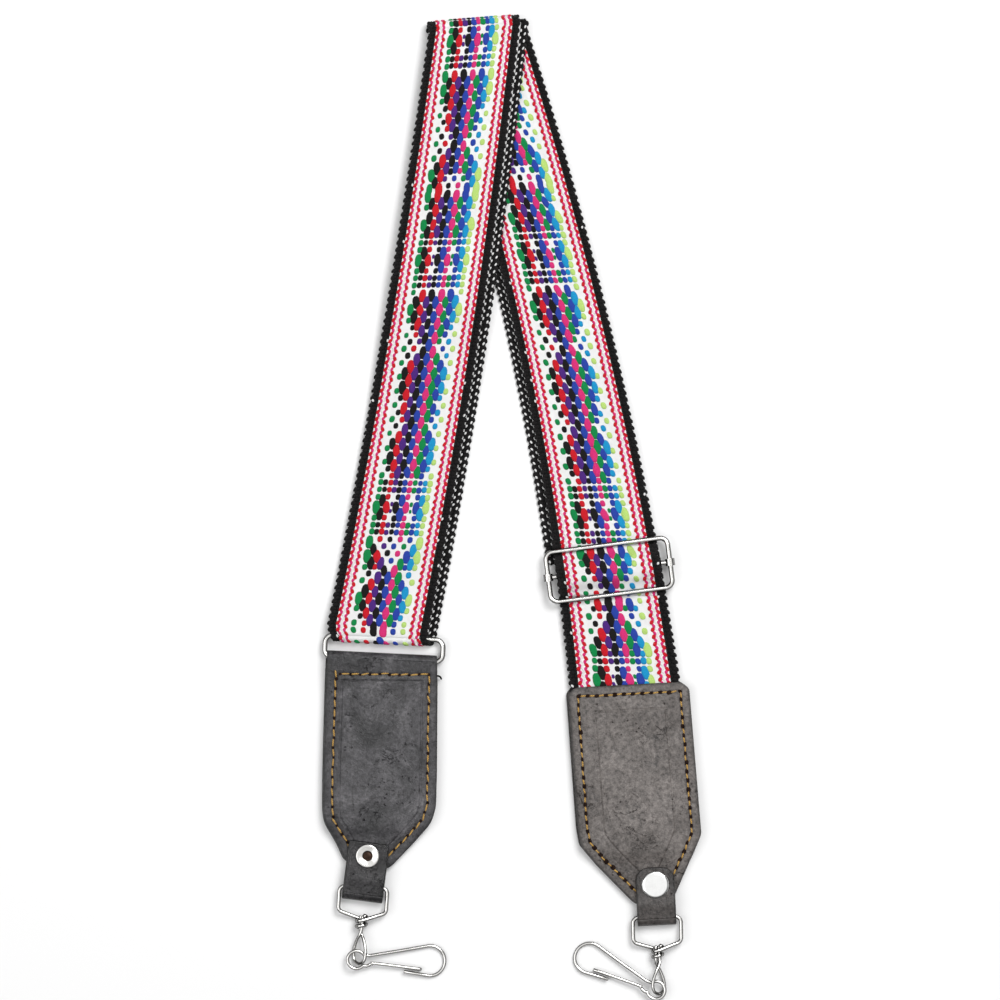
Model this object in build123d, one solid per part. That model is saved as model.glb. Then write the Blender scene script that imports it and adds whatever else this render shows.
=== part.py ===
"""Woven guitar strap with two leather end tabs and snap-on wire hooks.

The strap lies folded in half on a flat surface. +X is across it, +Y runs up both arms to
the fold, +Z is up from the surface. Millimetres. The origin is the middle of the folded
strap's outline, on the surface.
"""

from build123d import *
import os
from math import atan2, cos, degrees, radians, sin

# ---- Driving dimensions -------------------------------------------------------------

WEB = 1.6                # thickness of the woven band
LEATHER = 1.6            # thickness of each leather layer
GAP = 0.3                # air between layers and between moving pieces
HALF_SPAN = 130.0        # more than half of the strap's width, for cutting tools

LOWER_Z = 0.0            # underside of the band's lower run, which lies on the surface
UPPER_Z = LOWER_Z + WEB + GAP        # underside of the upper run
UPPER_TOP = UPPER_Z + WEB

# The top fold: two layers bent round one axis
FOLD_TILT = 4.5          # degrees, the fold line rises to the right
FOLD_X, FOLD_Y = -16.0, 217.7        # a point on the line where the straight runs end
FOLD_INNER = 0.4         # inside radius of the inner layer
FOLD_OUTER = FOLD_INNER + WEB + GAP  # inside radius of the outer layer
FOLD_Z = UPPER_TOP + FOLD_INNER
FOLD_HINGE_OUT = 3.4     # how far the hinge line lies beyond the straight runs' ends
CROSSED_Z = FOLD_Z + FOLD_INNER      # underside of the left arm where it lies on the right

# Arms: each edge is an arc through its upper end, a middle point and its lower end
RIGHT_OUTER = [(5.4, 219.4), (46.8, 70.0), (75.5, -79.1)]
RIGHT_INNER = [(-35.6, 216.2), (2.7, 70.0), (25.6, -79.1)]
LEFT_OUTER = [(-37.9, 216.0), (-64.5, 48.2), (-85.0, -59.0)]
LEFT_INNER = [(3.0, 219.2), (-20.0, 48.2), (-39.3, -61.4)]
RIGHT_SHIFT = -3.6       # the right arm's lower run lies this far to the left
LEFT_SHIFT = 3.8         # the left arm's lower run lies this far to the right
CROSSING_END = 100.0     # above this height the left arm lies on the right arm
LEFT_LANDED = 45.0       # below this height the left arm lies on the surface
BAND_INTO_TAB = 26.0     # how far the band reaches into the right tab

# Slider: a rectangular wire frame with a middle bar
SLIDER_X, SLIDER_Y = 43.6, -29.0
SLIDER_TILT = 7.4        # degrees
SLIDER_WIDTH, SLIDER_HEIGHT = 58.0, 25.0
SLIDER_WIRE = 1.15       # radius
SLIDER_CORNER = 3.4
BAR_RADIUS = 1.1
EYELET_RADIUS = 2.15
ARCH_FEATHER = 0.35      # the arch thins to this under the frame's two long sides
ARCH_WIDTH = 47.6
SLIDER_Z = UPPER_TOP + 0.1 + ARCH_FEATHER + GAP + SLIDER_WIRE

# Oval ring between the left arm and the left tab
RING_X, RING_Y = -58.6, -64.7
RING_TILT = -2.8
RING_WIDTH, RING_HEIGHT = 56.0, 12.6
RING_CORNER = 3.6
RING_WIRE = 1.2
RING_Z = LEATHER + GAP + RING_WIRE
RING_BAR = RING_HEIGHT / 2 - RING_WIRE  # from the ring's middle to each long side
RING_TURN = 23.5         # half the width of what turns round each long side
RING_CLEAR = 6.0         # how far from a long side the corners are taken off

# Leather tabs
FRONT_Z = 3.6            # underside of the front leather over the stiffener
TIP_Z = 2.0              # underside of the front leather at the tip
STIFFENER = (1.7, 3.5)   # bottom and top of the stiffener board
RIGHT_TAB = [
    (27.9, -82.4), (76.2, -79.8), (80.0, -82.7), (85.5, -148.9), (81.5, -158.5),
    (72.9, -178.0), (55.6, -180.9), (38.6, -163.6), (30.9, -154.5), (29.5, -146.8),
    (25.0, -85.5),
]
LEFT_TAB = [
    (-33.8, -72.3), (-34.5, -121.8), (-34.9, -136.8), (-37.1, -143.9), (-45.2, -153.2),
    (-56.5, -165.0), (-76.2, -161.5), (-79.4, -154.0), (-85.4, -143.9), (-86.2, -138.2),
    (-86.0, -117.7), (-84.6, -71.8),
]
RIGHT_CROWN_END = -157.0     # the stiffener ends here and the front leather steps down
LEFT_CROWN_END = -146.0
STITCH_INSET = 4.2
STITCH_PITCH = 4.2
STITCH = (2.2, 0.7, 0.4)     # length, width, height

# Tongues: the strips that hold the wire loops, bent round them and snapped shut
LOOP_WIRE = 0.9
BEND_INSIDE = 1.65
LOOP_Z = LEATHER + BEND_INSIDE
FLAP_Z = LOOP_Z + BEND_INSIDE

# Snap fasteners
CAP_RADIUS, CAP_HEIGHT = 6.25, 1.0
CAP_BARREL = 1.9
SNAP_HOLE = 2.2
SOCKET_RADIUS, SOCKET_BORE = 4.8, 2.6
STUD_FLANGE, STUD_KNOB = 4.2, 2.2
POST_STEM = 1.4

# Five-sided wire loop, from its bar down to its collar
LOOP_HALF, LOOP_SIDE, LOOP_APEX = 10.9, 11.3, 15.8
COLLAR_TOP, COLLAR_END = -14.6, -18.6
COLLAR_RADIUS, SHANK_RADIUS, SHANK_RUN = 2.6, 1.12, 0.08
# Swivel eye
EYE_WIRE = 0.75
EYE_BOTTOM, EYE_ROUND = -34.9, 2.9
EYE_ROLL = 45.0          # degrees, lets the hook's ring lie flat
# Hook: a ring and two arms from one wire, lengths from the ring's middle
HOOK_WIRE = 0.75
HOOK_RING = 4.05
HOOK_OFFSET = (-1.2, 1.7)    # ring's middle from the eye's lowest point
HOOK_DROOP = 3.6         # degrees, the far end rests on the surface
HOOK_ARM = [(5.9, 1.8), (33.0, 6.1), (40.2, 5.6), (40.2, -6.4), (34.0, -7.6), (21.8, -5.5)]
GATE_PIVOT = (7.4, -1.9)
GATE_TIP = (29.4, -4.5)

SIDES = {
    # bend x, y and tilt of the tongue; widths; flap length; where the snap and loop sit
    "right": dict(bend=(65.3, -187.2), tilt=3.0, width=17.6, flap=23.4, snap=15.6,
                  loop_up=0.6, chain_tilt=1.5, hook_angle=153.4, mirror=True, top=-168.0,
                  roll=EYE_ROLL, cap=CAP_RADIUS, open_cap=False),
    "left": dict(bend=(-68.2, -176.1), tilt=-7.4, width=18.6, flap=23.8, snap=17.6,
                 loop_up=3.2, chain_tilt=-3.6, hook_angle=0.0, mirror=False, top=-152.0,
                 roll=-EYE_ROLL, cap=5.4, open_cap=True),
}


# ---- Helpers -------------------------------------------------------------------------

def plate(outline, bottom, top):
    """A flat sheet with the given outline."""
    return extrude(Pos(0, 0, bottom) * outline, amount=top - bottom)


def polygon(points):
    return make_face(Polyline(*points, close=True))


def side_profile(points):
    """A solid of constant section, from (y, z) points, running all the way across X."""
    outline = make_face(Polyline(*[(0, y, z) for y, z in points], close=True))
    return extrude(outline, amount=HALF_SPAN, both=True)


def layer(points, thickness):
    """Side profile of a sheet whose underside follows the (y, z) points."""
    over = [(y, z + thickness) for y, z in reversed(points)]
    return side_profile(points + over)


def arm_outline(first, second, shift=0.0):
    """The outline between two edge arcs."""
    a = [(x + shift, y) for x, y in first]
    b = [(x + shift, y) for x, y in second]
    edges = [ThreePointArc(*a), Line(a[2], b[2]), ThreePointArc(*reversed(b)), Line(b[0], a[0])]
    return make_face(edges)


def bent_wire(points, radius, corner):
    """A round wire through the points, with its corners rounded."""
    path = FilletPolyline(*points, radius=corner) if len(points) > 2 else Line(*points)
    start = Plane(origin=path @ 0, z_dir=path % 0)
    return sweep(start * Circle(radius), path)


def half_ring(bore, thickness):
    """A sheet bent half-way round the X axis, on the -Y side, as a face in the YZ plane."""
    outside = bore + thickness
    edges = [
        ThreePointArc((0, 0, outside), (0, -outside, 0), (0, 0, -outside)),
        Line((0, 0, -outside), (0, 0, -bore)),
        ThreePointArc((0, 0, -bore), (0, -bore, 0), (0, 0, bore)),
        Line((0, 0, bore), (0, 0, outside)),
    ]
    return make_face(edges)


def bend(bore, thickness, left, right):
    """A sheet bent half-way round the X axis, from one X to another."""
    return extrude(Pos(left, 0, 0) * half_ring(bore, thickness), amount=right - left,
                   dir=(1, 0, 0))


def disc(radius, bottom, top, bore=0.0):
    solid = Pos(0, 0, bottom) * Cylinder(radius, top - bottom,
                                         align=(Align.CENTER, Align.CENTER, Align.MIN))
    if bore:
        solid -= Pos(0, 0, bottom - 1) * Cylinder(bore, top - bottom + 2, align=(
            Align.CENTER, Align.CENTER, Align.MIN))
    return solid


def inset(points, distance):
    """A smaller copy of a closed outline."""
    return offset(polygon(points), amount=-distance, kind=Kind.INTERSECTION)


# ---- Webbing -------------------------------------------------------------------------

def past_fold():
    """Everything beyond the line where the straight runs end."""
    return Pos(FOLD_X, FOLD_Y, 0) * Rot(0, 0, FOLD_TILT) * Pos(0, 50, 0) * Box(200, 100, 60)


def right_arm():
    upper = arm_outline(RIGHT_OUTER, RIGHT_INNER)
    (outer_x, outer_y), (inner_x, inner_y) = RIGHT_OUTER[2], RIGHT_INNER[2]
    into = polygon([(outer_x, outer_y), (outer_x + 2, outer_y - BAND_INTO_TAB),
                    (inner_x + 2, inner_y - BAND_INTO_TAB), (inner_x, inner_y)])
    below_bar = Pos(SLIDER_X, SLIDER_Y, 0) * Rot(0, 0, SLIDER_TILT) * Pos(0, -100, 0) * Box(
        200, 200, 40)
    lower = plate(arm_outline(RIGHT_OUTER, RIGHT_INNER, RIGHT_SHIFT), LOWER_Z, LOWER_Z + WEB)
    return {
        "right_arm_band": plate(upper + into, UPPER_Z, UPPER_TOP) - past_fold(),
        "right_arm_return_band": lower - below_bar - past_fold(),
    }


def left_arm():
    """Both runs lie on the right arm near the fold, and come down to the surface below it."""
    far = FOLD_Y + 10
    ring_end = RING_Y + RING_BAR
    lower = [(far, CROSSED_Z), (CROSSING_END, CROSSED_Z), (LEFT_LANDED, LOWER_Z),
             (ring_end - 10, LOWER_Z)]
    lift = CROSSED_Z + WEB + GAP
    over_ring = RING_Z + RING_WIRE + GAP
    upper = [(far, lift), (CROSSING_END, lift), (LEFT_LANDED, UPPER_Z),
             (ring_end + 26, UPPER_Z), (ring_end, over_ring), (ring_end - 10, over_ring)]
    ring_side = ring_frame() * Pos(0, RING_BAR - 50, 0) * Box(200, 100, 60)
    upper_run = layer(upper, WEB) & plate(arm_outline(LEFT_OUTER, LEFT_INNER), -1, 30)
    lower_run = layer(lower, WEB) & plate(arm_outline(LEFT_OUTER, LEFT_INNER, LEFT_SHIFT), -1, 30)
    turn = ring_frame() * Pos(0, RING_BAR, 0) * bend(RING_WIRE + GAP, WEB, -RING_TURN, 23.0)
    corners = ring_corner_cuts(1)
    return {
        "left_arm_band": upper_run - ring_side - past_fold() - corners,
        "left_arm_return_band": lower_run - ring_side - past_fold() - corners,
        "ring_turn_band": Pos(0, 0, RING_Z) * turn,
    }


def fold():
    """The two layers of the top fold, opened by the strap_fold hinge."""
    at = Pos(FOLD_X, FOLD_Y, FOLD_Z) * Rot(0, 0, FOLD_TILT)
    turned = at * Rot(0, 0, 180)
    return {
        "fold_inner_band": turned * bend(FOLD_INNER, WEB, -21.4, 20.0),
        "fold_outer_band": turned * bend(FOLD_OUTER, WEB, -18.6, 22.8),
    }


# ---- Slider and ring -----------------------------------------------------------------

def slider_frame_place():
    return Pos(SLIDER_X, SLIDER_Y, SLIDER_Z) * Rot(0, 0, SLIDER_TILT)


def slider():
    half_x = SLIDER_WIDTH / 2 - SLIDER_WIRE
    half_y = SLIDER_HEIGHT / 2 - SLIDER_WIRE
    side = [(0, half_y), (half_x, half_y), (half_x, -half_y), (0, -half_y)]
    right = bent_wire(side, SLIDER_WIRE, SLIDER_CORNER)
    frame = right + mirror(right, Plane.YZ)
    bar = Rot(0, 90, 0) * Cylinder(BAR_RADIUS, 2 * (half_x - EYELET_RADIUS + 0.5))
    eyelet = Rot(90, 0, 0) * disc(EYELET_RADIUS, -1.6, 1.6, SLIDER_WIRE + 0.05)
    for end in (-1, 1):
        bar += Pos(end * half_x, 0, 0) * eyelet
    place = slider_frame_place()
    return {"slider_frame": place * frame, "slider_bar": place * bar, **slider_webbing(place)}


def slider_webbing(place):
    """The band's arch over the bar, and the sewn end loop round the bar."""
    floor = UPPER_TOP + 0.1 - SLIDER_Z
    loop_inside = BAR_RADIUS + 0.2
    loop_outside = loop_inside + 1.3
    crest = loop_outside + 0.2
    reach = SLIDER_HEIGHT / 2 - 0.2
    foot = reach - 3.4
    under = [(-reach, floor), (-foot, floor), (-3.4, crest), (3.4, crest), (foot, floor),
             (reach, floor)]
    over = [(reach, floor + ARCH_FEATHER), (foot - 0.4, floor + ARCH_FEATHER),
            (3.6, crest + 1.4), (-3.6, crest + 1.4), (-foot + 0.4, floor + ARCH_FEATHER),
            (-reach, floor + ARCH_FEATHER)]
    arch = side_profile(under + over) & Box(ARCH_WIDTH, 60, 60)
    wrap = disc(loop_outside, -ARCH_WIDTH / 2, ARCH_WIDTH / 2, loop_inside)
    wrap = Rot(0, 90, 0) * wrap
    legs = Pos(0, 0, floor / 2) * Box(ARCH_WIDTH, 2 * loop_outside, -floor)
    legs -= Box(ARCH_WIDTH + 1, 2 * loop_inside, 60)
    upper_half = Pos(0, 0, 10) * Box(80, 30, 20)
    loop = (wrap & upper_half) + legs
    return {
        "slider_arch_band": place * arch,
        "bar_loop_band": place * loop,
    }


def ring_frame():
    return Pos(RING_X, RING_Y, 0) * Rot(0, 0, RING_TILT)


def ring_corner_cuts(side):
    """Takes the corners off what hangs on one of the ring's long sides, to clear its bends."""
    cuts = None
    for end in (-1, 1):
        corner = [(end * RING_TURN, side * (RING_BAR - 1)), (end * 32, side * (RING_BAR - 1)),
                  (end * 32, side * (RING_BAR + RING_CLEAR)),
                  (end * (RING_TURN + 3), side * (RING_BAR + RING_CLEAR))]
        cut = plate(polygon(corner), -1, 30)
        cuts = cut if cuts is None else cuts + cut
    return ring_frame() * cuts


def oval_ring():
    half_x = RING_WIDTH / 2 - RING_WIRE
    side = [(0, RING_BAR), (half_x, RING_BAR), (half_x, -RING_BAR), (0, -RING_BAR)]
    right = bent_wire(side, RING_WIRE, RING_CORNER)
    ring = right + mirror(right, Plane.YZ)
    return {"oval_ring": ring_frame() * Pos(0, 0, RING_Z) * ring}


# ---- Leather tabs --------------------------------------------------------------------

def tongue_place(side):
    return Pos(*side["bend"], 0) * Rot(0, 0, side["tilt"])


def snap_holes(side):
    return tongue_place(side) * Pos(0, side["snap"], 0) * disc(SNAP_HOLE, -5, 20)


def stitches_along(outline, top_of):
    """Short threads along an outline, on top of the leather."""
    length, width, height = STITCH
    path = inset(outline, STITCH_INSET).face().outer_wire()
    count = int(path.length / STITCH_PITCH)
    threads = []
    for n in range(count):
        at, along = path @ (n / count), path % (n / count)
        turn = degrees(atan2(along.Y, along.X))
        top = top_of(at.Y)
        if top is not None:
            threads.append(Pos(at.X, at.Y, top + height / 2) * Rot(0, 0, turn)
                           * Box(length, width, height))
    return Compound(children=threads)


def tab_tip(side):
    """The back leather's strip that runs on below the tab to the bend."""
    reach = side["top"] - side["bend"][1] + 12
    strip = Pos(0, reach / 2, LEATHER / 2) * Box(side["width"], reach, LEATHER)
    return tongue_place(side) * strip


def front_layer(top_points, crown_end, tip_end):
    return layer(top_points + [(crown_end, FRONT_Z), (crown_end - 5, TIP_Z), (tip_end, TIP_Z)],
                 LEATHER)


def right_tab():
    side = SIDES["right"]
    front = front_layer([(-70, FRONT_Z)], RIGHT_CROWN_END, -200) & plate(
        polygon(RIGHT_TAB), -1, 20)
    back = plate(polygon(RIGHT_TAB), 0, LEATHER) + tab_tip(side)
    board = inset(RIGHT_TAB, 8.0)
    low = Pos(50, -78 - BAND_INTO_TAB - 6 - 100, 0) * Box(200, 200, 60)
    crown = Pos(50, RIGHT_CROWN_END + 1.5 + 50, 0) * Box(200, 100, 60)
    stiffener = plate(board, *STIFFENER) & low & crown

    def top_of(y):
        on_crown = y > RIGHT_CROWN_END
        clear_of_flap = y > -166 and not RIGHT_CROWN_END - 6 < y < RIGHT_CROWN_END
        height = FRONT_Z if on_crown else TIP_Z
        return height + LEATHER if clear_of_flap else None

    return {
        "right_front_leather": front - snap_holes(side),
        "right_back_leather": back,
        "right_tab_stiffener": stiffener,
        "right_tab_stitching": stitches_along(RIGHT_TAB, top_of),
    }


def left_tab():
    """One piece of leather, folded round the ring's lower side."""
    side = SIDES["left"]
    bar_y = RING_Y - RING_BAR
    over_ring = RING_Z + RING_WIRE + GAP
    outline = plate(polygon(LEFT_TAB + [(-85.0, bar_y + 20), (-33.0, bar_y + 20)]), -1, 30)
    above_bar = ring_frame() * Pos(0, -RING_BAR + 50, 0) * Box(200, 100, 60)
    front = front_layer([(bar_y + 10, over_ring), (bar_y, over_ring), (bar_y - 11, FRONT_Z)],
                        LEFT_CROWN_END, -190) & outline
    back = layer([(bar_y + 10, 0), (-190, 0)], LEATHER) & outline
    turn = ring_frame() * Pos(0, -RING_BAR, RING_Z) * Rot(0, 0, 180) * bend(
        RING_WIRE + GAP, LEATHER, -RING_TURN, RING_TURN)
    corners = ring_corner_cuts(-1)
    front = front - above_bar - corners - snap_holes(side)
    leather = front + turn + (back - above_bar - corners + tab_tip(side))
    crown = Pos(-60, LEFT_CROWN_END + 1.5 + 32, 0) * Box(200, 64, 60)
    stiffener = plate(inset(LEFT_TAB, 8.0), *STIFFENER) & crown

    def top_of(y):
        on_crown = LEFT_CROWN_END < y < bar_y - 11
        clear_of_flap = on_crown or (-153 < y < LEFT_CROWN_END - 6)
        height = FRONT_Z if on_crown else TIP_Z
        return height + LEATHER if clear_of_flap else None

    return {
        "left_tab_leather": leather,
        "left_tab_stiffener": stiffener,
        "left_tab_stitching": stitches_along(LEFT_TAB, top_of),
    }


def tongue(name):
    """The bend round the loop's bar, the flap and the four pieces of its snap."""
    side = SIDES[name]
    place = tongue_place(side)
    half = side["width"] / 2
    flap_bottom, flap_top = FLAP_Z, FLAP_Z + LEATHER
    strip = plate(Pos(0, side["flap"] / 2) * RectangleRounded(side["width"], side["flap"], 2.5),
                  flap_bottom, flap_top)
    square_end = Pos(0, 3, flap_bottom + LEATHER / 2) * Box(side["width"], 6, LEATHER)
    flap = place * (strip + square_end) - snap_holes(side)
    turn = place * Pos(0, 0, LOOP_Z) * bend(BEND_INSIDE, LEATHER, -half, half)
    snap = place * Pos(0, side["snap"], 0)
    dome = disc(side["cap"], flap_top, flap_top + CAP_HEIGHT)
    dome = fillet(dome.edges().group_by(Axis.Z)[-1], CAP_HEIGHT * 0.7)
    cap = dome + disc(CAP_BARREL, flap_bottom + 0.1, flap_top + 0.2)
    if side["open_cap"]:
        cap -= disc(1.3, 0, 20)
        cap -= Pos(0, 0, flap_top + 0.4) * Cone(1.3, 3.6, 0.7, align=(
            Align.CENTER, Align.CENTER, Align.MIN))
    tip_top = TIP_Z + LEATHER
    stud = disc(STUD_FLANGE, tip_top, tip_top + 0.3, POST_STEM + 0.05) + disc(
        STUD_KNOB, tip_top + 0.2, flap_bottom - 0.15, POST_STEM + 0.05)
    post = disc(STUD_FLANGE - 0.2, LEATHER + 0.02, TIP_Z - 0.02) + disc(
        POST_STEM, LEATHER + 0.1, flap_bottom - 0.3)
    return {
        f"{name}_tongue_bend": turn,
        f"{name}_tongue_flap": flap,
        f"{name}_snap_cap": snap * cap,
        f"{name}_snap_socket": snap * disc(SOCKET_RADIUS, tip_top + 0.4, flap_bottom - 0.02,
                                           SOCKET_BORE),
        f"{name}_snap_stud": snap * stud,
        f"{name}_snap_post": snap * post,
    }


# ---- Wire hooks ----------------------------------------------------------------------

def chain_place(side):
    """Frame of the wire loop: origin on its bar, -Y down the swivel."""
    bar = tongue_place(side) * Pos(0, side["loop_up"], LOOP_Z)
    x, y, z = bar.position
    return Pos(x, y, z) * Rot(0, 0, side["chain_tilt"])


def hook_place(side):
    """Frame of the hook: origin in its ring, +X along the hook."""
    offset_x, offset_y = HOOK_OFFSET
    x, y, z = (chain_place(side) * Pos(offset_x, EYE_BOTTOM + offset_y, 0)).position
    flip = Rot(180, 0, 0) if side["mirror"] else Rot(0, 0, 0)
    return Pos(x, y, z) * Rot(0, 0, side["hook_angle"]) * Rot(0, HOOK_DROOP, 0) * flip


def wire_loop():
    corners = [(0, 0), (LOOP_HALF, 0), (LOOP_HALF, -LOOP_SIDE), (1.6, -LOOP_APEX)]
    half = bent_wire(corners, LOOP_WIRE, 1.6)
    collar = disc(COLLAR_RADIUS, 0, COLLAR_TOP - COLLAR_END, SHANK_RADIUS + SHANK_RUN)
    collar = Pos(0, COLLAR_TOP, 0) * Rot(90, 0, 0) * collar
    bore = Rot(90, 0, 0) * Cylinder(SHANK_RADIUS + SHANK_RUN, 80)
    outer = half + mirror(half, Plane.YZ)
    return outer - (bore & Pos(0, -20, 0) * Box(10, 20, 10)) + collar


def swivel_eye(roll):
    """A headed shank that turns in the loop's collar, ending in a pear-shaped eye."""
    shank = Pos(0, COLLAR_TOP + 1.6, 0) * Rot(90, 0, 0) * disc(SHANK_RADIUS, 0, 7.4)
    head = Pos(0, COLLAR_TOP + 1.6, 0) * Rot(90, 0, 0) * disc(1.9, 0, 1.3)
    root = COLLAR_TOP + 1.6 - 7.4
    centre = EYE_BOTTOM + EYE_ROUND
    drop = root - centre
    lean = degrees(radians(90) - atan2((drop ** 2 - EYE_ROUND ** 2) ** 0.5, EYE_ROUND))
    tangent = (EYE_ROUND * cos(radians(lean)), centre + EYE_ROUND * sin(radians(lean)))
    lowest = (EYE_ROUND * cos(radians(-45)), centre + EYE_ROUND * sin(radians(-45)))
    path = Wire([Edge.make_line((0, root + 0.4), tangent),
                 Edge.make_three_point_arc(tangent, lowest, (0, EYE_BOTTOM))])
    half = sweep(Plane(origin=path @ 0, z_dir=path % 0) * Circle(EYE_WIRE), path)
    return Rot(0, roll, 0) * (shank + head + half + mirror(half, Plane.YZ))


def hook_body():
    """The ring and the long arm, round the far end to the hook's tip."""
    arm = bent_wire(HOOK_ARM, HOOK_WIRE, 4.6)
    start = degrees(atan2(HOOK_ARM[0][1], HOOK_ARM[0][0])) + 6
    end = 360 - 38
    ring_arc = CenterArc((0, 0), HOOK_RING, start + 14, end - start - 14)
    ring = sweep(Plane(origin=ring_arc @ 0, z_dir=ring_arc % 0) * Circle(HOOK_WIRE), ring_arc)
    shoulder_start = ring_arc @ 0
    shoulder = bent_wire([(shoulder_start.X, shoulder_start.Y), HOOK_ARM[0]], HOOK_WIRE, 1)
    heel = ring_arc @ 1
    root = (GATE_PIVOT[0] - 1.3, GATE_PIVOT[1] - 0.4)
    tail = bent_wire([(heel.X, heel.Y), root], HOOK_WIRE, 1)
    body = arm + shoulder + ring + tail
    for x, y in (HOOK_ARM[0], (shoulder_start.X, shoulder_start.Y), (heel.X, heel.Y)):
        body += Pos(x, y, 0) * Sphere(HOOK_WIRE)
    return body


def hook_gate():
    pivot = Pos(*GATE_PIVOT, 0) * Cylinder(HOOK_WIRE * 0.98, 2 * HOOK_WIRE)
    return pivot + bent_wire([GATE_PIVOT, GATE_TIP], HOOK_WIRE * 0.98, 1)


def hook_set(name):
    side = SIDES[name]
    chain, hook = chain_place(side), hook_place(side)
    return {
        f"{name}_loop": chain * wire_loop(),
        f"{name}_swivel_eye": chain * swivel_eye(side["roll"]),
        f"{name}_hook": hook * hook_body(),
        f"{name}_hook_gate": hook * hook_gate(),
    }


# ---- The whole strap -----------------------------------------------------------------

def build():
    nodes = {**right_arm(), **left_arm(), **fold(), **slider(), **oval_ring(),
             **right_tab(), **left_tab()}
    for name in SIDES:
        nodes.update(tongue(name))
        nodes.update(hook_set(name))
    return nodes


os.makedirs("parts", exist_ok=True)
for node, shape in build().items():
    export_step(shape, f"parts/{node}.step")
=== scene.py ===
"""The looks of a two-armed woven guitar strap with leather tabs and swivelling wire hooks.

All sizes are in millimetres and degrees until a mesh is made. X runs across the strap, Y up both
arms to the fold, Z up from the surface that it lies on.
"""
import math

import bpy
import numpy as np
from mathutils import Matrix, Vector


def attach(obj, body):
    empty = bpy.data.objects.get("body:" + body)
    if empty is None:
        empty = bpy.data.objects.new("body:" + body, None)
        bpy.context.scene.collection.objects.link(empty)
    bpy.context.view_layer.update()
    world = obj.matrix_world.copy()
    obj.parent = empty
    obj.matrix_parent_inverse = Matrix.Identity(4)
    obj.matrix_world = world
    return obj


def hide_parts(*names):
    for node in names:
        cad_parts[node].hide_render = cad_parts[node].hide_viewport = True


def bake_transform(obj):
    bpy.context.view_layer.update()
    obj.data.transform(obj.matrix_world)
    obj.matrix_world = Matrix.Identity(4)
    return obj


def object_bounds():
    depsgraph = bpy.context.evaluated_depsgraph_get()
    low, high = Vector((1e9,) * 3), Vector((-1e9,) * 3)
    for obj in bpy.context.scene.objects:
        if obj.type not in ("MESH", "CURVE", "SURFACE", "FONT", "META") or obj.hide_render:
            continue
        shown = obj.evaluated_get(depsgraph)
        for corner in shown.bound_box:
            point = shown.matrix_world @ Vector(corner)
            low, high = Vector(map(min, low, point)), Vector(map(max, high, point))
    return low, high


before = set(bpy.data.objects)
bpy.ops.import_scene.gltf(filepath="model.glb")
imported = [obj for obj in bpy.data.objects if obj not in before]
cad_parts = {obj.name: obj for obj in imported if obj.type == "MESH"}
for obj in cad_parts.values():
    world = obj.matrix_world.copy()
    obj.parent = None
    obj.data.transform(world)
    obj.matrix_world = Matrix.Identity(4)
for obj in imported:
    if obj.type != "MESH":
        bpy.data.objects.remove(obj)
cad_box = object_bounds()

MM = 0.001
chance = np.random.default_rng(7)

# ---- Sizes shared with the CAD frame -------------------------------------------------

WEB = 1.6                # thickness of the woven band
LEATHER = 1.6            # thickness of each leather layer
UPPER_Z = 1.9            # underside of the band's upper run
CROSSED_Z = 4.3          # underside of the left arm where it lies on the right arm
LAYER_RISE = 1.9         # from one run's underside to the next
FOLD_AT = (-16.0, 217.7)
FOLD_TILT = 4.5
FOLD_Z = 3.9
RIGHT_OUTER = [(5.4, 219.4), (46.8, 70.0), (75.5, -79.1)]
RIGHT_INNER = [(-35.6, 216.2), (2.7, 70.0), (25.6, -79.1)]
LEFT_OUTER = [(-37.9, 216.0), (-64.5, 48.2), (-85.0, -59.0)]
LEFT_INNER = [(3.0, 219.2), (-20.0, 48.2), (-39.3, -61.4)]
RIGHT_SHIFT = -3.6       # the right arm's lower run lies this far to the left
LEFT_SHIFT = 3.8         # the left arm's lower run lies this far to the right
CROSSING_END = 100.0     # y where the left arm starts down from the right one
LEFT_LANDED = 45.0       # and where it lies on the surface
SLIDER_AT = (43.6, -29.0)
SLIDER_TILT = 7.4
RING_AT = (-58.6, -64.7)
RING_TILT = -2.8
RING_Z = 3.1
RING_BAR = 5.1           # from the ring's middle to its long sides
OVER_RING = 4.6          # underside of what passes over the ring's wire
FRONT_Z = 3.6            # underside of the front leather over the stiffener
TIP_Z = 2.0              # underside of the front leather at the tip
RIGHT_TAB = [
    (27.9, -82.4), (76.2, -79.8), (80.0, -82.7), (85.5, -148.9), (81.5, -158.5), (72.9, -178.0),
    (55.6, -180.9), (38.6, -163.6), (30.9, -154.5), (29.5, -146.8), (25.0, -85.5),
]
LEFT_TAB = [
    (-33.8, -72.3), (-34.5, -121.8), (-34.9, -136.8), (-37.1, -143.9), (-45.2, -153.2),
    (-56.5, -165.0), (-76.2, -161.5), (-79.4, -154.0), (-85.4, -143.9), (-86.2, -138.2),
    (-86.0, -117.7), (-84.6, -71.8),
]
CROWN_END = {"right": -157.0, "left": -146.0}    # y where the front leather slopes down
TONGUE = {
    "right": dict(bend=(65.3, -187.2), tilt=3.0, width=17.6, flap=23.4, snap=15.6, top=-166.0),
    "left": dict(bend=(-68.2, -176.1), tilt=-7.4, width=18.6, flap=23.8, snap=17.6, top=-152.0),
}
BEND_INSIDE = 1.65       # inner radius of the tongue's bend
FLAP_Z = 4.9             # underside of the flap's leather
FLAP_CORNER = {"right": 6.0, "left": 1.8}    # radius of the flap's corners
STRIP_HOLD = 10.0        # how far the tongue's strip runs on inside the tab
STITCH_INSET = 4.2       # from the edge of the leather

# ---- The weave -----------------------------------------------------------------------

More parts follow.
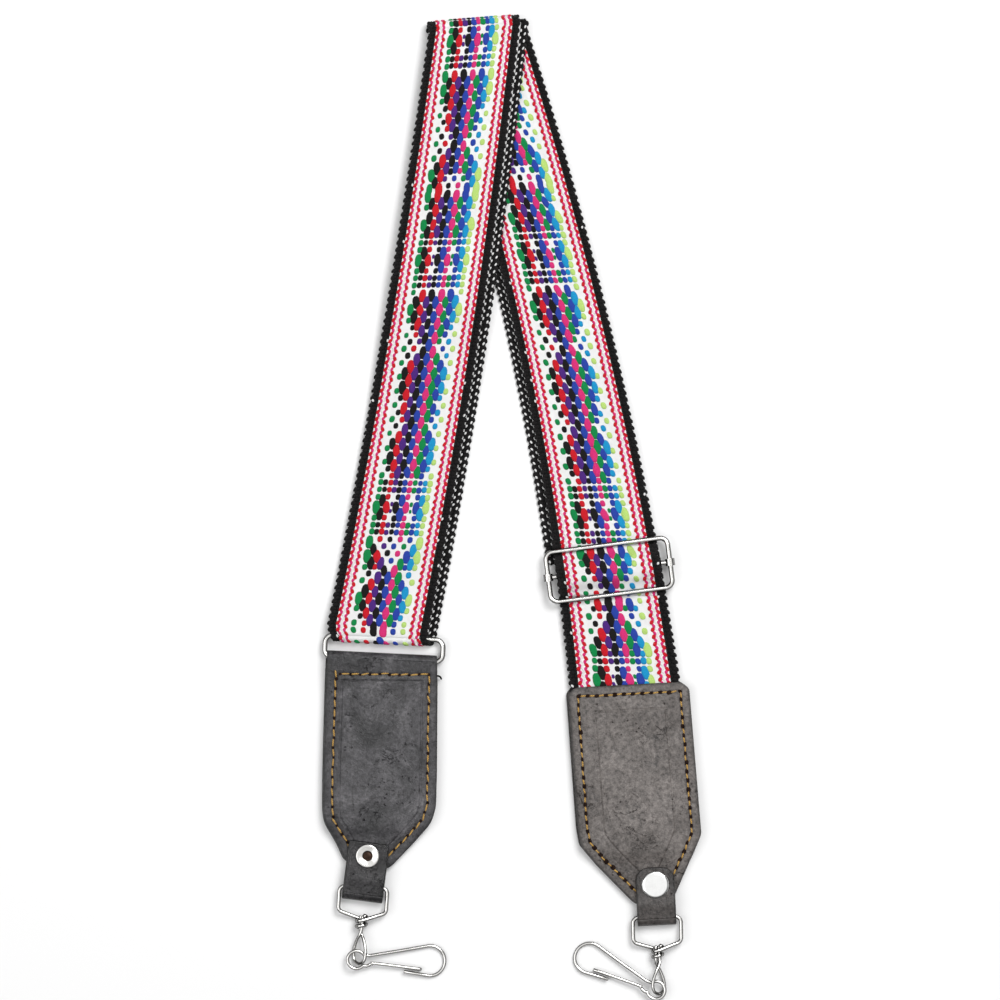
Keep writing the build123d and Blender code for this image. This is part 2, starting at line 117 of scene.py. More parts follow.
ROW = {"left": 3.25, "right": 3.45}      # one row of the pattern, along each arm
START = {"left": -3.3, "right": -9.5}    # where the draft begins, from the fold
BAND = 44.0              # nominal width of the band
COLUMNS = ["green", "black", "red", "purple", "black", "blue", "pink", "green", "blue", "cyan",
           "lime"]
PATTERN_ZONE = (0.226, 0.774)    # the coloured columns, as shares of the band's width
SELVEDGE = 0.085                 # the black edge, as a share of the width
ZIGZAG = (0.102, 0.134, 0.166)    # outer line, white line, inner line
SLAB = (0.15, 1.35)              # bottom and top of the ground cloth above the run's underside
FLOAT_RISE = 0.62                # how far a float stands above the ground cloth
FLOAT_SIZES = {                  # half width, half length in rows, rows from start to middle
    "i": (0.70, 0.33, 0.5), "o": (1.16, 0.44, 0.5), "O": (1.60, 0.93, 1.0),
}

BAR = ["ooooooooooo"]
BLOCK = ["oOo.oOo.oOo", "O.OiO.OiO.O", ".O.i.O.i.O.", "o.o.o.o.o.o"]

YARNS = {
    "green": (0.0, 0.25, 0.062), "black": (0.0045, 0.0035, 0.004), "red": (0.62, 0.007, 0.018),
    "purple": (0.075, 0.018, 0.215), "blue": (0.020, 0.055, 0.385), "pink": (0.72, 0.028, 0.19),
    "cyan": (0.008, 0.31, 0.62), "lime": (0.52, 0.76, 0.20), "white": (0.95, 0.95, 0.95),
}


def lens(half_widths, hollow=False):
    """Pattern rows of staggered long floats inside a shape, and short ones outside it."""
    rows = []
    for r, half in enumerate(half_widths):
        row = ""
        for c in range(len(COLUMNS)):
            inside = abs(c - 5) <= half
            long_float = inside != hollow
            on = (r + c) % 2 == 0
            row += ("O" if long_float else "o") if on else "."
        rows.append(row)
    return rows


def chain_of_lenses():
    """Between two framed blocks: a hexagon, a long lens and a short one."""
    return (lens([4, 5, 5, 4, 4, 3, 2, 1, 1, 2, 3, 4, 4, 4, 4, 3, 3, 2])
            + lens([1, 2, 3, 4, 4, 4, 3, 2]) + ["o.o.o.o.o.o"])


def framed_block():
    return BAR * 2 + BLOCK + BAR * 2


def from_fold():
    """The part next to the fold, down to the first full framed block."""
    return (BAR + BLOCK + BAR * 2
            + lens([5, 5, 5, 4, 4, 3, 3, 2, 2, 1, 1, 2, 3, 4])
            + lens([1, 2, 1], hollow=True) + lens([5, 4, 4, 5, 5, 5]))


LEFT_END = (lens([4, 3, 2, 1], hollow=True) + lens([1, 2, 3, 4, 5, 5, 4, 3, 2])
            + lens([1, 1, 2, 2, 3, 3, 2, 2]))
RIGHT_END = (lens([5, 5, 4, 3, 2, 1, 1]) + lens([3, 1, 1, 2, 3, 4, 5]) + BAR * 2 + BLOCK
             + BAR * 2 + lens([5] * 8))
UPPER_PART = from_fold() + framed_block() + chain_of_lenses() + framed_block()
DRAFTS = {"left": UPPER_PART + LEFT_END, "right": UPPER_PART + RIGHT_END}


# ---- Node helpers --------------------------------------------------------------------

def new_material(name):
    mat = bpy.data.materials.new(name)
    mat.use_nodes = True
    tree = mat.node_tree
    return mat, tree, tree.nodes["Principled BSDF"]


def feed(tree, node, inputs):
    """Links outputs to the node's sockets, and sets plain values on the sockets themselves."""
    for socket, value in inputs.items():
        if isinstance(value, bpy.types.NodeSocket):
            tree.links.new(value, node.inputs[socket])
        else:
            node.inputs[socket].default_value = value


def add(tree, kind, inputs, **settings):
    """A new node with its properties set and its inputs fed."""
    made = tree.nodes.new(kind)
    for key, value in settings.items():
        setattr(made, key, value)
    feed(tree, made, inputs)
    return made


def noise(tree, scale, detail, rough, vector, distort=0.0):
    inputs = {"Scale": scale, "Detail": detail, "Roughness": rough, "Distortion": distort,
              "Vector": vector}
    return add(tree, "ShaderNodeTexNoise", inputs).outputs["Fac"]


def waves(tree, direction, inputs):
    return add(tree, "ShaderNodeTexWave", inputs, wave_type="BANDS",
               bands_direction=direction).outputs["Fac"]


def ramp(tree, factor, *stops):
    """A colour ramp with (place, colour) stops. A colour can be a single grey value."""
    made = add(tree, "ShaderNodeValToRGB", {"Fac": factor})
    band = made.color_ramp
    while len(band.elements) < len(stops):
        band.elements.new(0.5)
    for element, (place, colour) in zip(band.elements, stops):
        element.position = place
        element.color = (*np.broadcast_to(colour, 3).tolist(), 1.0)
    return made.outputs["Color"]


def between(tree, factor, low, high):
    """A number that runs from low to high as the factor runs from 0 to 1."""
    inputs = {"Value": factor, "To Min": low, "To Max": high}
    return add(tree, "ShaderNodeMapRange", inputs).outputs["Result"]


def eased(tree, value, start, end, low=0.0, high=1.0):
    """A number that runs smoothly from low to high as the value runs from start to end."""
    inputs = {"Value": value, "From Min": start, "From Max": end, "To Min": low, "To Max": high}
    return add(tree, "ShaderNodeMapRange", inputs,
               interpolation_type="SMOOTHSTEP").outputs["Result"]


def calculate(tree, operation, *values):
    return add(tree, "ShaderNodeMath", dict(enumerate(values)), operation=operation).outputs[0]


def distance_from(tree, value, middle, reach):
    """0 where the value is at the middle, rising to 1 at the reach on either side."""
    away = calculate(tree, "ABSOLUTE", calculate(tree, "SUBTRACT", value, middle))
    return eased(tree, away, 0.0, reach)


def blended(tree, how, below, above):
    """Blends one colour output over another."""
    made = add(tree, "ShaderNodeMix", {}, data_type="RGBA", blend_type=how)
    feed(tree, made, {"Factor": 1.0, 6: below, 7: above})
    return made.outputs[2]


def bumps(tree, shader, *layers):
    """Stacks bump layers of (height output, strength, depth in mm) on the shader's normal."""
    inputs = {}
    for height, strength, depth in layers:
        inputs |= {"Height": height, "Strength": strength, "Distance": depth * MM}
        inputs["Normal"] = add(tree, "ShaderNodeBump", inputs).outputs["Normal"]
    feed(tree, shader, {"Normal": inputs["Normal"]})


def scaled(tree, vector, factors, turn=0.0):
    """The vector scaled along each axis and turned about Z."""
    inputs = {"Vector": vector, "Scale": factors, "Rotation": (0.0, 0.0, turn)}
    return add(tree, "ShaderNodeMapping", inputs).outputs["Vector"]


def weave_space(tree):
    return add(tree, "ShaderNodeUVMap", {}, uv_map="weave").outputs["UV"]


def object_space(tree, output="Object"):
    return add(tree, "ShaderNodeTexCoord", {}).outputs[output]


def distance_on(tree, name):
    """A distance that is stored on the mesh, in mm."""
    return add(tree, "ShaderNodeAttribute", {}, attribute_name=name).outputs["Fac"]


# ---- Materials -----------------------------------------------------------------------

def yarn_material(name, colour):
    """Soft spun yarn, with fibres running along it."""
    mat, tree, shader = new_material(f"yarn_{name}")
    strand = noise(tree, 1.6, 4.0, 0.6, scaled(tree, weave_space(tree), (9.0, 0.9, 1.0)))
    patch = noise(tree, 420.0, 2.0, 0.5, object_space(tree))
    shade = tuple(c * 0.62 for c in colour)
    light = tuple(min(1.0, c * 1.15 + 0.006) for c in colour)
    feed(tree, shader, {"Base Color": ramp(tree, strand, (0.25, shade), (0.7, light)),
                        "Roughness": between(tree, patch, 0.62, 0.86),
                        "Sheen Weight": 0.06, "Sheen Roughness": 0.5,
                        "Specular IOR Level": 0.16})
    bumps(tree, shader, (strand, 0.8, 0.4))
    return mat


def cloth_material(name, low, high, rib, sheen=0.15):
    """The ground of the band: fine weft ribs crossed by warp lines."""
    mat, tree, shader = new_material(name)
    weave = weave_space(tree)
    ribs = waves(tree, "Y", {"Scale": 1.05, "Distortion": 0.9, "Detail": 2.0,
                             "Detail Scale": 3.0,
                             "Vector": scaled(tree, weave, (0.25, 1.0, 1.0))})
    warp = waves(tree, "X", {"Scale": 1.4, "Distortion": 0.6, "Vector": weave})
    fuzz = noise(tree, 900.0, 4.0, 0.6, object_space(tree))
    cloudy = noise(tree, 60.0, 3.0, 0.5, object_space(tree))
    feed(tree, shader, {"Base Color": ramp(tree, cloudy, (0.3, low), (0.7, high)),
                        "Roughness": between(tree, fuzz, 0.75, 0.95),
                        "Sheen Weight": sheen, "Specular IOR Level": sheen})
    bumps(tree, shader, (ribs, rib, 0.42), (warp, 0.35, 0.18), (fuzz, 0.3, 0.12))
    return mat


def pits(tree, place):
    """1 in small clustered pits and along hair cracks, 0 elsewhere."""
    spots = add(tree, "ShaderNodeTexVoronoi", {"Scale": 420.0, "Vector": place}, feature="F1")
    crack = calculate(tree, "SUBTRACT", noise(tree, 75.0, 8.0, 0.62, place, 1.2), 0.5)
    found = []
    for value, widest, cluster, rare in (
            (spots.outputs["Distance"], 0.24, 62.0, (0.50, 0.62)),
            (calculate(tree, "ABSOLUTE", crack), 0.006, 38.0, (0.52, 0.66))):
        mark = eased(tree, value, 0.0, widest, 1.0, 0.0)
        where = eased(tree, noise(tree, cluster, 3.0, 0.6, place), *rare)
        found.append(calculate(tree, "MULTIPLY", mark, where))
    return calculate(tree, "MAXIMUM", *found)


def leather_material(name, dark, middle, light, lines, shine):
    """Waxed leather: clouded colour, fine grain, pits, soft creases and pressed lines.

    lines are distances from the panel's stitched outline, in mm, of the lines pressed into it.
    """
    mat, tree, shader = new_material(name)
    place = object_space(tree)
    cloud = noise(tree, 46.0, 6.0, 0.66, place, 0.7)
    fleck = noise(tree, 620.0, 6.0, 0.78, place)
    scuff = noise(tree, 130.0, 6.0, 0.75, scaled(tree, place, (1.0, 0.6, 1.0), 0.6), 1.5)
    worn = pits(tree, place)
    from_line = distance_on(tree, "edge_mm")
    near_rim = eased(tree, distance_on(tree, "rim_mm"), 0.0, 1.5)
    tone = blended(tree, "SOFT_LIGHT",
                   ramp(tree, cloud, (0.3, dark), (0.5, middle), (0.72, light)),
                   ramp(tree, fleck, (0.30, 0.02), (0.70, 0.98)))
    darker = [ramp(tree, scuff, (0.30, 0.35), (0.42, 0.92), (1.0, 1.0)),
              ramp(tree, worn, (0.0, 1.0), (1.0, 0.22))]
    for at, reach, low in ((STITCH_INSET, 1.7, 0.62), (1.0, 2.2, 0.80)):
        darker.append(ramp(tree, distance_from(tree, from_line, at, reach),
                           (0.0, low), (1.0, 1.0)))
    darker.append(ramp(tree, near_rim, (0.0, 0.35), (1.0, 1.0)))
    for layer in darker:
        tone = blended(tree, "MULTIPLY", tone, layer)
    feed(tree, shader, {"Base Color": tone, "Roughness": between(tree, scuff, *shine),
                        "Specular IOR Level": 0.5})
    grain = add(tree, "ShaderNodeTexVoronoi", {"Scale": 1300.0, "Vector": place},
                feature="DISTANCE_TO_EDGE")
    pressed = [(distance_from(tree, from_line, at, 0.85), 0.7, 0.45) for at in lines]
    bumps(tree, shader, (grain.outputs["Distance"], 0.4, 0.14), (cloud, 0.7, 1.5),
          (scuff, 0.9, 0.7), (fleck, 0.9, 0.35), (worn, 1.0, -0.5), *pressed)
    return mat


def grainy_material(name, scale, detail, rough, low, high, finish, bump, stretch=None):
    """One colour clouded by fine noise. finish is the roughness and the specular level."""
    mat, tree, shader = new_material(name)
    place = object_space(tree)
    if stretch:
        place = scaled(tree, place, stretch)
    grain = noise(tree, scale, detail, rough, place)
    feed(tree, shader, {"Base Color": ramp(tree, grain, (0.3, low), (0.7, high)),
                        "Roughness": finish[0], "Specular IOR Level": finish[1]})
    if bump:
        bumps(tree, shader, (grain, *bump))
    return mat


def leather_edge_material(name, colour):
    """The cut edge: fibrous and a little lighter."""
    low = tuple(c * 0.6 for c in colour)
    high = tuple(c * 1.35 for c in colour)
    return grainy_material(name, 700.0, 4.0, 0.7, low, high, (0.8, 0.5), (0.6, 0.3),
                           (1.0, 1.0, 3.0))


def thread_material():
    mat, tree, shader = new_material("thread_gold")
    twist = waves(tree, "DIAGONAL", {"Scale": 700.0, "Distortion": 0.8,
                                     "Vector": object_space(tree)})
    gold = ramp(tree, twist, (0.1, (0.22, 0.105, 0.012)), (0.8, (0.56, 0.33, 0.06)))
    feed(tree, shader, {"Base Color": gold, "Roughness": 0.5, "Sheen Weight": 0.2})
    bumps(tree, shader, (twist, 0.6, 0.12))
    return mat


def metal_material(name, low, high, rough, sides=1.0):
    """Nickel plate with a faint drawing grain and handling marks.

    sides is how dark the colour is painted where the plate faces sideways: painted shade for the
    dark reflections along the sides of a wire.
    """
    mat, tree, shader = new_material(name)
    place = object_space(tree)
    drawn = noise(tree, 300.0, 4.0, 0.6, scaled(tree, place, (1.0, 1.0, 4.0)))
    marks = noise(tree, 1800.0, 2.0, 0.5, scaled(tree, place, (1.0, 0.12, 1.0), 0.7))
    # Painted shade: the colour darkens where the surface faces sideways, standing for dark
    # reflections.
    facing = add(tree, "ShaderNodeSeparateXYZ", {0: object_space(tree, "Normal")})
    upright = calculate(tree, "ABSOLUTE", facing.outputs["Z"])
    tint_with_painted_shade = blended(tree, "MULTIPLY", ramp(tree, drawn, (0.3, low), (0.7, high)),
                   ramp(tree, upright, (0.42, sides), (0.93, 1.0)))
    feed(tree, shader, {"Base Color": tint_with_painted_shade, "Metallic": 1.0,
                        "Roughness": between(tree, marks, *rough)})
    bumps(tree, shader, (drawn, 0.02, 0.02))
    return mat


YARN = {name: yarn_material(name, colour) for name, colour in YARNS.items()}
YARN_ORDER = list(YARNS)
GROUND = cloth_material("ground_white", 0.91, 0.98, 0.55)
EDGE_CLOTH = cloth_material("ground_black", 0.005, 0.010, 0.75, 0.03)
CHARCOAL = leather_material("leather_charcoal", (0.012, 0.012, 0.013), (0.048, 0.046, 0.050),
                            (0.125, 0.120, 0.127), [7.3], (0.20, 0.50))
GREY_LEATHER = leather_material("leather_grey", (0.072, 0.062, 0.057), (0.132, 0.117, 0.109),
                                (0.195, 0.174, 0.163), [11.5], (0.32, 0.60))
DARK_TONGUE = leather_material("tongue_charcoal", (0.004, 0.004, 0.005), (0.012, 0.011, 0.012),
                               (0.034, 0.032, 0.035), [], (0.14, 0.34))
GREY_TONGUE = leather_material("tongue_grey", (0.022, 0.019, 0.018), (0.055, 0.048, 0.045),
                               (0.105, 0.094, 0.088), [], (0.20, 0.44))
CHARCOAL_CUT = leather_edge_material("cut_charcoal", (0.030, 0.028, 0.027))
GREY_CUT = leather_edge_material("cut_grey", (0.055, 0.046, 0.042))
THREAD = thread_material()
# Painted shade: a dark patch that stands for the shade inside each needle hole.
NEEDLE_HOLE_SHADE = grainy_material("needle_hole_shade", 600.0, 2.0, 0.5, (0.006, 0.003, 0.002),
                       (0.022, 0.012, 0.009), (0.9, 0.08), None)
# The last value is the painted shade on the nickel's sideways faces.
NICKEL = metal_material("bright_nickel", (0.66, 0.65, 0.63), (0.80, 0.79, 0.77),
                        (0.15, 0.20), 0.10)
POLISHED = metal_material("polished_cap", (0.88, 0.88, 0.87), (0.94, 0.94, 0.93), (0.10, 0.20))
BROWNED = metal_material("browned_rivet", (0.020, 0.012, 0.009), (0.055, 0.034, 0.026),
                         (0.35, 0.55))
BOARD = grainy_material("stiffener_board", 500.0, 5.0, 0.7, (0.23, 0.16, 0.10),
                        (0.36, 0.27, 0.18), (0.85, 0.5), (0.5, 0.15))


# ---- Mesh helpers --------------------------------------------------------------------

def make_object(name, points, faces, materials, slots=None, uv=None, **distances):
    """A mesh object from points in mm. uv and each named distance hold a value per point."""
    mesh = bpy.data.meshes.new(name)
    mesh.from_pydata((np.asarray(points) * MM).tolist(), [], [tuple(f) for f in faces])
    for mat in materials:
        mesh.materials.append(mat)
    if slots is not None:
        mesh.polygons.foreach_set("material_index", np.asarray(slots, np.int32))
    mesh.polygons.foreach_set("use_smooth", np.full(len(mesh.polygons), True))
    if uv is not None:
        layer = mesh.uv_layers.new(name="weave")
        corner = np.empty(len(mesh.loops), np.int32)
        mesh.loops.foreach_get("vertex_index", corner)
        layer.data.foreach_set("uv", np.asarray(uv, np.float32)[corner].ravel())
    for key, values in distances.items():
        attribute = mesh.attributes.new(key, "FLOAT", "POINT")
        attribute.data.foreach_set("value", np.asarray(values, np.float32))
    mesh.update()
    obj = bpy.data.objects.new(name, mesh)
    bpy.context.scene.collection.objects.link(obj)
    return obj


def grid_faces(rows, columns, start=0, flip=False):
    """Quads of a grid of points stored row by row."""
    r, c = np.meshgrid(np.arange(rows - 1), np.arange(columns - 1), indexing="ij")
    a = (r * columns + c).ravel() + start
    quads = np.stack([a, a + 1, a + columns + 1, a + columns], axis=1)
    return quads[:, ::-1] if flip else quads


def ring_faces(rings, sides, flip=False):
    """Quads between rings of points that are stored one after another."""
    faces = []
    for k in range(rings - 1):
        for i in range(sides):
            a, b, j = k * sides, (k + 1) * sides, (i + 1) % sides
            if flip:
                faces.append((a + j, a + i, b + i, b + j))
            else:
                faces.append((a + i, a + j, b + j, b + i))
    return faces


def loop_faces(first, second):
    """Quads between two closed or open lists of point numbers of one length."""
    first, second = np.asarray(first), np.asarray(second)
    return np.stack([first[:-1], first[1:], second[1:], second[:-1]], axis=1)


def dome_template(sides=12, levels=((1.0, -0.25), (1.0, 0.2), (0.80, 0.70), (0.45, 0.94)),
                  squareness=0.80):
    """A pillow: base a little squarer than a circle, unit height, closed on top."""
    angles = (np.arange(sides) + 0.5) * 2 * math.pi / sides
    across = np.sign(np.cos(angles)) * np.abs(np.cos(angles)) ** squareness
    along_it = np.sign(np.sin(angles)) * np.abs(np.sin(angles)) ** squareness
    points = [np.stack([radius * across, radius * along_it, np.full(sides, height)], axis=1)
              for radius, height in levels]
    points.append(np.array([[0.0, 0.0, 1.0]]))
    faces = ring_faces(len(levels), sides)
    top = len(levels) * sides
    last = top - sides
    for i in range(sides):
        faces.append((last + i, last + (i + 1) % sides, top))
    return np.concatenate(points), faces


def ball_template(sides):
    """A pillow that is round underneath too."""
    angles = np.radians((-60, -25, 10, 45))
    points, faces = dome_template(sides, list(zip(np.cos(angles), np.sin(angles))), 1.0)
    under = len(points)
    points = np.concatenate([points, [[0.0, 0.0, -1.0]]])
    for i in range(sides):
        faces.append(((i + 1) % sides, i, under))
    return points, faces


DOME = dome_template()
BALL = ball_template(8)


class Yarns:
    """Collects many small pillows in band coordinates: s along, w across, both in mm."""

    def __init__(self):
        self.points, self.faces, self.slots, self.uvs = [], [], [], []
        self.count = 0

    def put(self, template, s, w, half_s, half_w, base, height, colour, slant=0.0, down=False):
        shape, faces = template
        across, lengthwise = shape[:, 0] * half_w, shape[:, 1] * half_s
        turned_w, turned_s = in_frame((w, s), slant, across, lengthwise)
        rise = shape[:, 2] * height
        self.points.append(np.stack([turned_s, turned_w, base - rise if down else base + rise],
                                    axis=1))
        self.uvs.append(np.stack([across + w * 3.0, lengthwise + s * 0.37], axis=1))
        slot = YARN_ORDER.index(colour)
        for face in faces:
            numbers = [n + self.count for n in face]
            self.faces.append(numbers if down else numbers[::-1])
            self.slots.append(slot)
        self.count += len(shape)

    def object(self, name, place):
        flat = np.concatenate(self.points)
        solid = place(flat[:, 0], flat[:, 1] / BAND, flat[:, 2])
        return make_object(name, solid, self.faces, [YARN[n] for n in YARN_ORDER], self.slots,
                           np.concatenate(self.uvs))


# ---- Where the band runs -------------------------------------------------------------

def arc_through(three):
    """A function of u, from 0 at the first point to 1 at the last, along the arc."""
    (ax, ay), (bx, by), (cx, cy) = three
    d = 2 * (ax * (by - cy) + bx * (cy - ay) + cx * (ay - by))
    a2, b2, c2 = ax * ax + ay * ay, bx * bx + by * by, cx * cx + cy * cy
    ox = (a2 * (by - cy) + b2 * (cy - ay) + c2 * (ay - by)) / d
    oy = (a2 * (cx - bx) + b2 * (ax - cx) + c2 * (bx - ax)) / d
    radius = math.hypot(ax - ox, ay - oy)
    first = math.atan2(ay - oy, ax - ox)
    turn = math.atan2(cy - oy, cx - ox) - first
    turn = (turn + math.pi) % (2 * math.pi) - math.pi

    def at(u):
        angle = first + turn * u
        return ox + radius * np.cos(angle), oy + radius * np.sin(angle)

    return at, radius * abs(turn)


def smooth_profile(points, window=4.0):
    """Height as a function of y through the points, with its corners softened."""
    ys = np.array([p[0] for p in points][::-1])
    zs = np.array([p[1] for p in points][::-1])

    def height(y):
        steps = np.linspace(-window, window, 5)
        return sum(np.interp(y + step, ys, zs) for step in steps) / len(steps)

    return height


def arm(left_edge, right_edge, shift, underside, tuck=0.0):
    """Returns place(s, t, h) for a run of the band, and the run's length.

    tuck is how far the left edge moves in over the run's last few millimetres.
    """
    left, left_length = arc_through(left_edge)
    right, right_length = arc_through(right_edge)
    length = (left_length + right_length) / 2

    def place(s, t, h):
        u = np.asarray(s) / length
        lx, ly = left(u)
        rx, ry = right(u)
        lx = lx + tuck * np.clip((s - length + 7.0) / 7.0, 0, 1) ** 2
        x = lx + (rx - lx) * t + shift
        y = ly + (ry - ly) * t
        ripple = 0.10 * np.sin(s / 11.0 + 3.0 * t) + 0.06 * np.sin(s / 4.3 - 5.0 * t)
        return np.stack([x, y, underside(y) + h + ripple], axis=1)

    return place, length


def in_frame(centre, tilt, x, y):
    """Turns a frame's own x and y into the strap's."""
    c, s = math.cos(math.radians(tilt)), math.sin(math.radians(tilt))
    return centre[0] + x * c - y * s, centre[1] + x * s + y * c


def own_place(centre, tilt, x, y):
    """A point of the strap in a frame's own x and y."""
    c, s = math.cos(math.radians(tilt)), math.sin(math.radians(tilt))
    dx, dy = x - centre[0], y - centre[1]
    return dx * c + dy * s, -dx * s + dy * c


def half_turn(centre, tilt, z, low_span, high_span, inside, side):
    """place(s, t, h) for a band bent half-way round a bar. s runs from the top to the bottom.

    side is 1 where the bend bulges to +Y of its frame, and -1 where it bulges to -Y. h runs from
    the inside of the bend out.
    """
    middle = inside + WEB / 2

    def place(s, t, h):
        angle = math.pi / 2 - np.asarray(s) / middle
        share = np.clip(np.asarray(s) / (math.pi * middle), 0, 1)
        left = high_span[0] + (low_span[0] - high_span[0]) * share
        right = high_span[1] + (low_span[1] - high_span[1]) * share
        radius = inside + h
        x, y = in_frame(centre, tilt, left + (right - left) * t, side * radius * np.cos(angle))
        return np.stack([x, y, z + radius * np.sin(angle)], axis=1)

    return place, math.pi * middle


def left_profiles():
    """Undersides of the left arm's lower and upper runs, as functions of y."""
    ring_end = RING_AT[1] + RING_BAR
    lower = [(240, CROSSED_Z), (CROSSING_END, CROSSED_Z), (LEFT_LANDED, 0.0), (-200, 0.0)]
    upper = [(240, CROSSED_Z + LAYER_RISE), (CROSSING_END, CROSSED_Z + LAYER_RISE),
             (LEFT_LANDED, UPPER_Z), (ring_end + 26, UPPER_Z), (ring_end + 4, OVER_RING),
             (-200, OVER_RING)]
    return smooth_profile(lower), smooth_profile(upper)


def level(z):
    """A height that is the same everywhere."""
    return lambda y: np.full(np.shape(y), float(z))


# ---- Cloth and yarn of one run -------------------------------------------------------

CLOTH_STEP = 1.2         # mm between the cloth's rows of points
CLOTH_COLUMNS = 39
CLOTH_EDGE = 0.012       # share of the width that the knotted edge stands out beyond the cloth
CLOTH_ROUNDING = 0.35
SHORTEST_FLOAT = 1.3
JITTER = 0.10            # mm that a float strays along the band
LINE_RISE = 0.56
LINE_SWING = 0.30        # mm that a zigzag line swings to each side
RED_STITCH = ("red", 1.15, 0.78)         # colour, half length, half width
PINK_STITCH = ("pink", 1.02, 0.64)
WHITE_STITCH = (1.15, 0.46)
KNOTS = [                # inset, rows ahead, half length, half width, half thickness
    (0.42, 0.0, 1.42, 0.92, 0.98), (1.75, 0.5, 1.22, 0.80, 0.90), (1.55, 0.0, 0.75, 0.60, 0.98),
    (2.95, 0.0, 1.15, 0.78, 0.92), (2.95, 0.5, 0.72, 0.60, 0.86), (0.75, 0.5, 0.70, 0.62, 0.80),
]
SPECKS = [(1.0, 0.42), (3.05, 0.92)]     # inset, rows ahead
SPECKED = {"pattern": 0.04, "plain": 0.97, "reverse": 0.97}  # share of the specks that show


def cloth(name, place, start, end):
    """A closed slab of ground cloth, black along both selvedges."""
    s = np.linspace(start, end, max(4, int((end - start) / CLOTH_STEP)) + 1)
    t = np.concatenate([[CLOTH_EDGE], np.linspace(0.03, 0.97, CLOTH_COLUMNS),
                        [1 - CLOTH_EDGE]])
    ss, tt = (grid.ravel() for grid in np.meshgrid(s, t, indexing="ij"))
    rounding = CLOTH_ROUNDING * (np.minimum(tt, 1 - tt) < 0.02)
    bottom, top = SLAB
    points = np.concatenate([place(ss, tt, top - rounding), place(ss, tt, bottom + rounding)])
    count, shape = len(ss), (len(s), len(t))
    number = np.arange(count).reshape(shape)
    faces = [grid_faces(*shape), grid_faces(*shape, count, flip=True)]
    for edge, flip in ((number[:, 0], False), (number[:, -1], True), (number[0], True),
                       (number[-1], False)):
        faces.append(loop_faces(edge + count, edge) if flip else loop_faces(edge, edge + count))
    faces = np.concatenate(faces)
    uv = np.stack([tt * BAND, ss], axis=1)
    share = np.concatenate([tt, tt])[faces].mean(axis=1)
    slots = (np.minimum(share, 1 - share) < SELVEDGE).astype(int)
    return make_object(name, points, faces, [GROUND, EDGE_CLOTH], slots,
                       np.concatenate([uv, uv]))


def add_floats(yarns, draft, start, end, base, down, offset, reverse):
    """The coloured floats of the pattern, drawn from the draft and cut off at the run's ends."""
    row_size = ROW[draft]
    first, last = PATTERN_ZONE
    pitch = (last - first) * BAND / len(COLUMNS)
    for r, row in enumerate(DRAFTS[draft]):
        for c, mark in enumerate(row):
            if reverse:
                mark = "O" if mark == "." and (r + c) % 2 else "."
            if mark == ".":
                continue
            half_w, half_rows, middle = FLOAT_SIZES[mark]
            s = offset + r * row_size + middle * row_size + chance.normal(0, JITTER)
            half_s = half_rows * row_size
            near, far = max(s - half_s, start + 0.05), min(s + half_s, end - 0.05)
            if far - near < SHORTEST_FLOAT:
                continue
            w = first * BAND + (c + 0.5) * pitch + chance.normal(0, 0.06)
            size = chance.normal(1.0, 0.05)
            yarns.put(DOME, (near + far) / 2, w, (far - near) / 2 * size, half_w * size, base,
                      FLOAT_RISE, COLUMNS[c], chance.normal(-6.0, 5.0), down)


def fitted_rows(start, end):
    """The start of each row of the edges, fitted to the run's length, and the row's size."""
    count = max(1, round((end - start) / ROW["left"]))
    row = (end - start) / count
    return [start + (n + 0.25) * row for n in range(count)], row


def across_from(edge, inset):
    """A place across the band, measured in from its left (-1) or right (1) edge."""
    return inset if edge < 0 else BAND - inset


def add_zigzag(yarns, start, end, base, down):
    """The red and pink lines on each side of a white zigzag, at both edges."""
    starts, row = fitted_rows(start, end)
    for edge in (-1, 1):
        for s in starts:
            for line, share in zip(("outer", "white", "inner"), ZIGZAG):
                w = across_from(edge, share * BAND)
                pair = (RED_STITCH, PINK_STITCH)
                if line == "inner":
                    pair = (PINK_STITCH, RED_STITCH)
                for half_row, side in ((0, 1), (1, -1)):
                    at = s + half_row * row / 2
                    if line == "white":
                        yarns.put(DOME, at, w, *WHITE_STITCH, base, LINE_RISE - 0.01, "white",
                                  32 * edge * side, down)
                        continue
                    colour, half_s, half_w = pair[half_row]
                    yarns.put(DOME, at + chance.normal(0, 0.05), w + side * edge * LINE_SWING,
                              half_s, half_w, base, LINE_RISE, colour,
                              -24 * edge * side + chance.normal(0, 4), down)


def add_selvedge(yarns, start, end, specks_up, specks_down):
    """Black knotted edges, scalloped on the outside, with white specks on the reverse."""
    starts, row = fitted_rows(start, end)
    bottom, top = SLAB
    for edge in (-1, 1):
        for first in starts:
            for inset, ahead, half_s, half_w, thick in KNOTS:
                yarns.put(BALL, first + ahead * row + chance.normal(0, 0.09),
                          across_from(edge, inset), half_s, half_w, (bottom + top) / 2, thick,
                          "black", -24 * edge + chance.normal(0, 7))
            for wanted, face in ((specks_up, top + 0.1), (specks_down, bottom - 0.1)):
                for inset, ahead in SPECKS:
                    if chance.random() > wanted:
                        continue
                    w = across_from(edge, inset) + chance.normal(0, 0.10)
                    yarns.put(BALL, first + ahead * row, w, 0.80, 0.50, face, 0.56, "white",
                              18 * edge + chance.normal(0, 9))


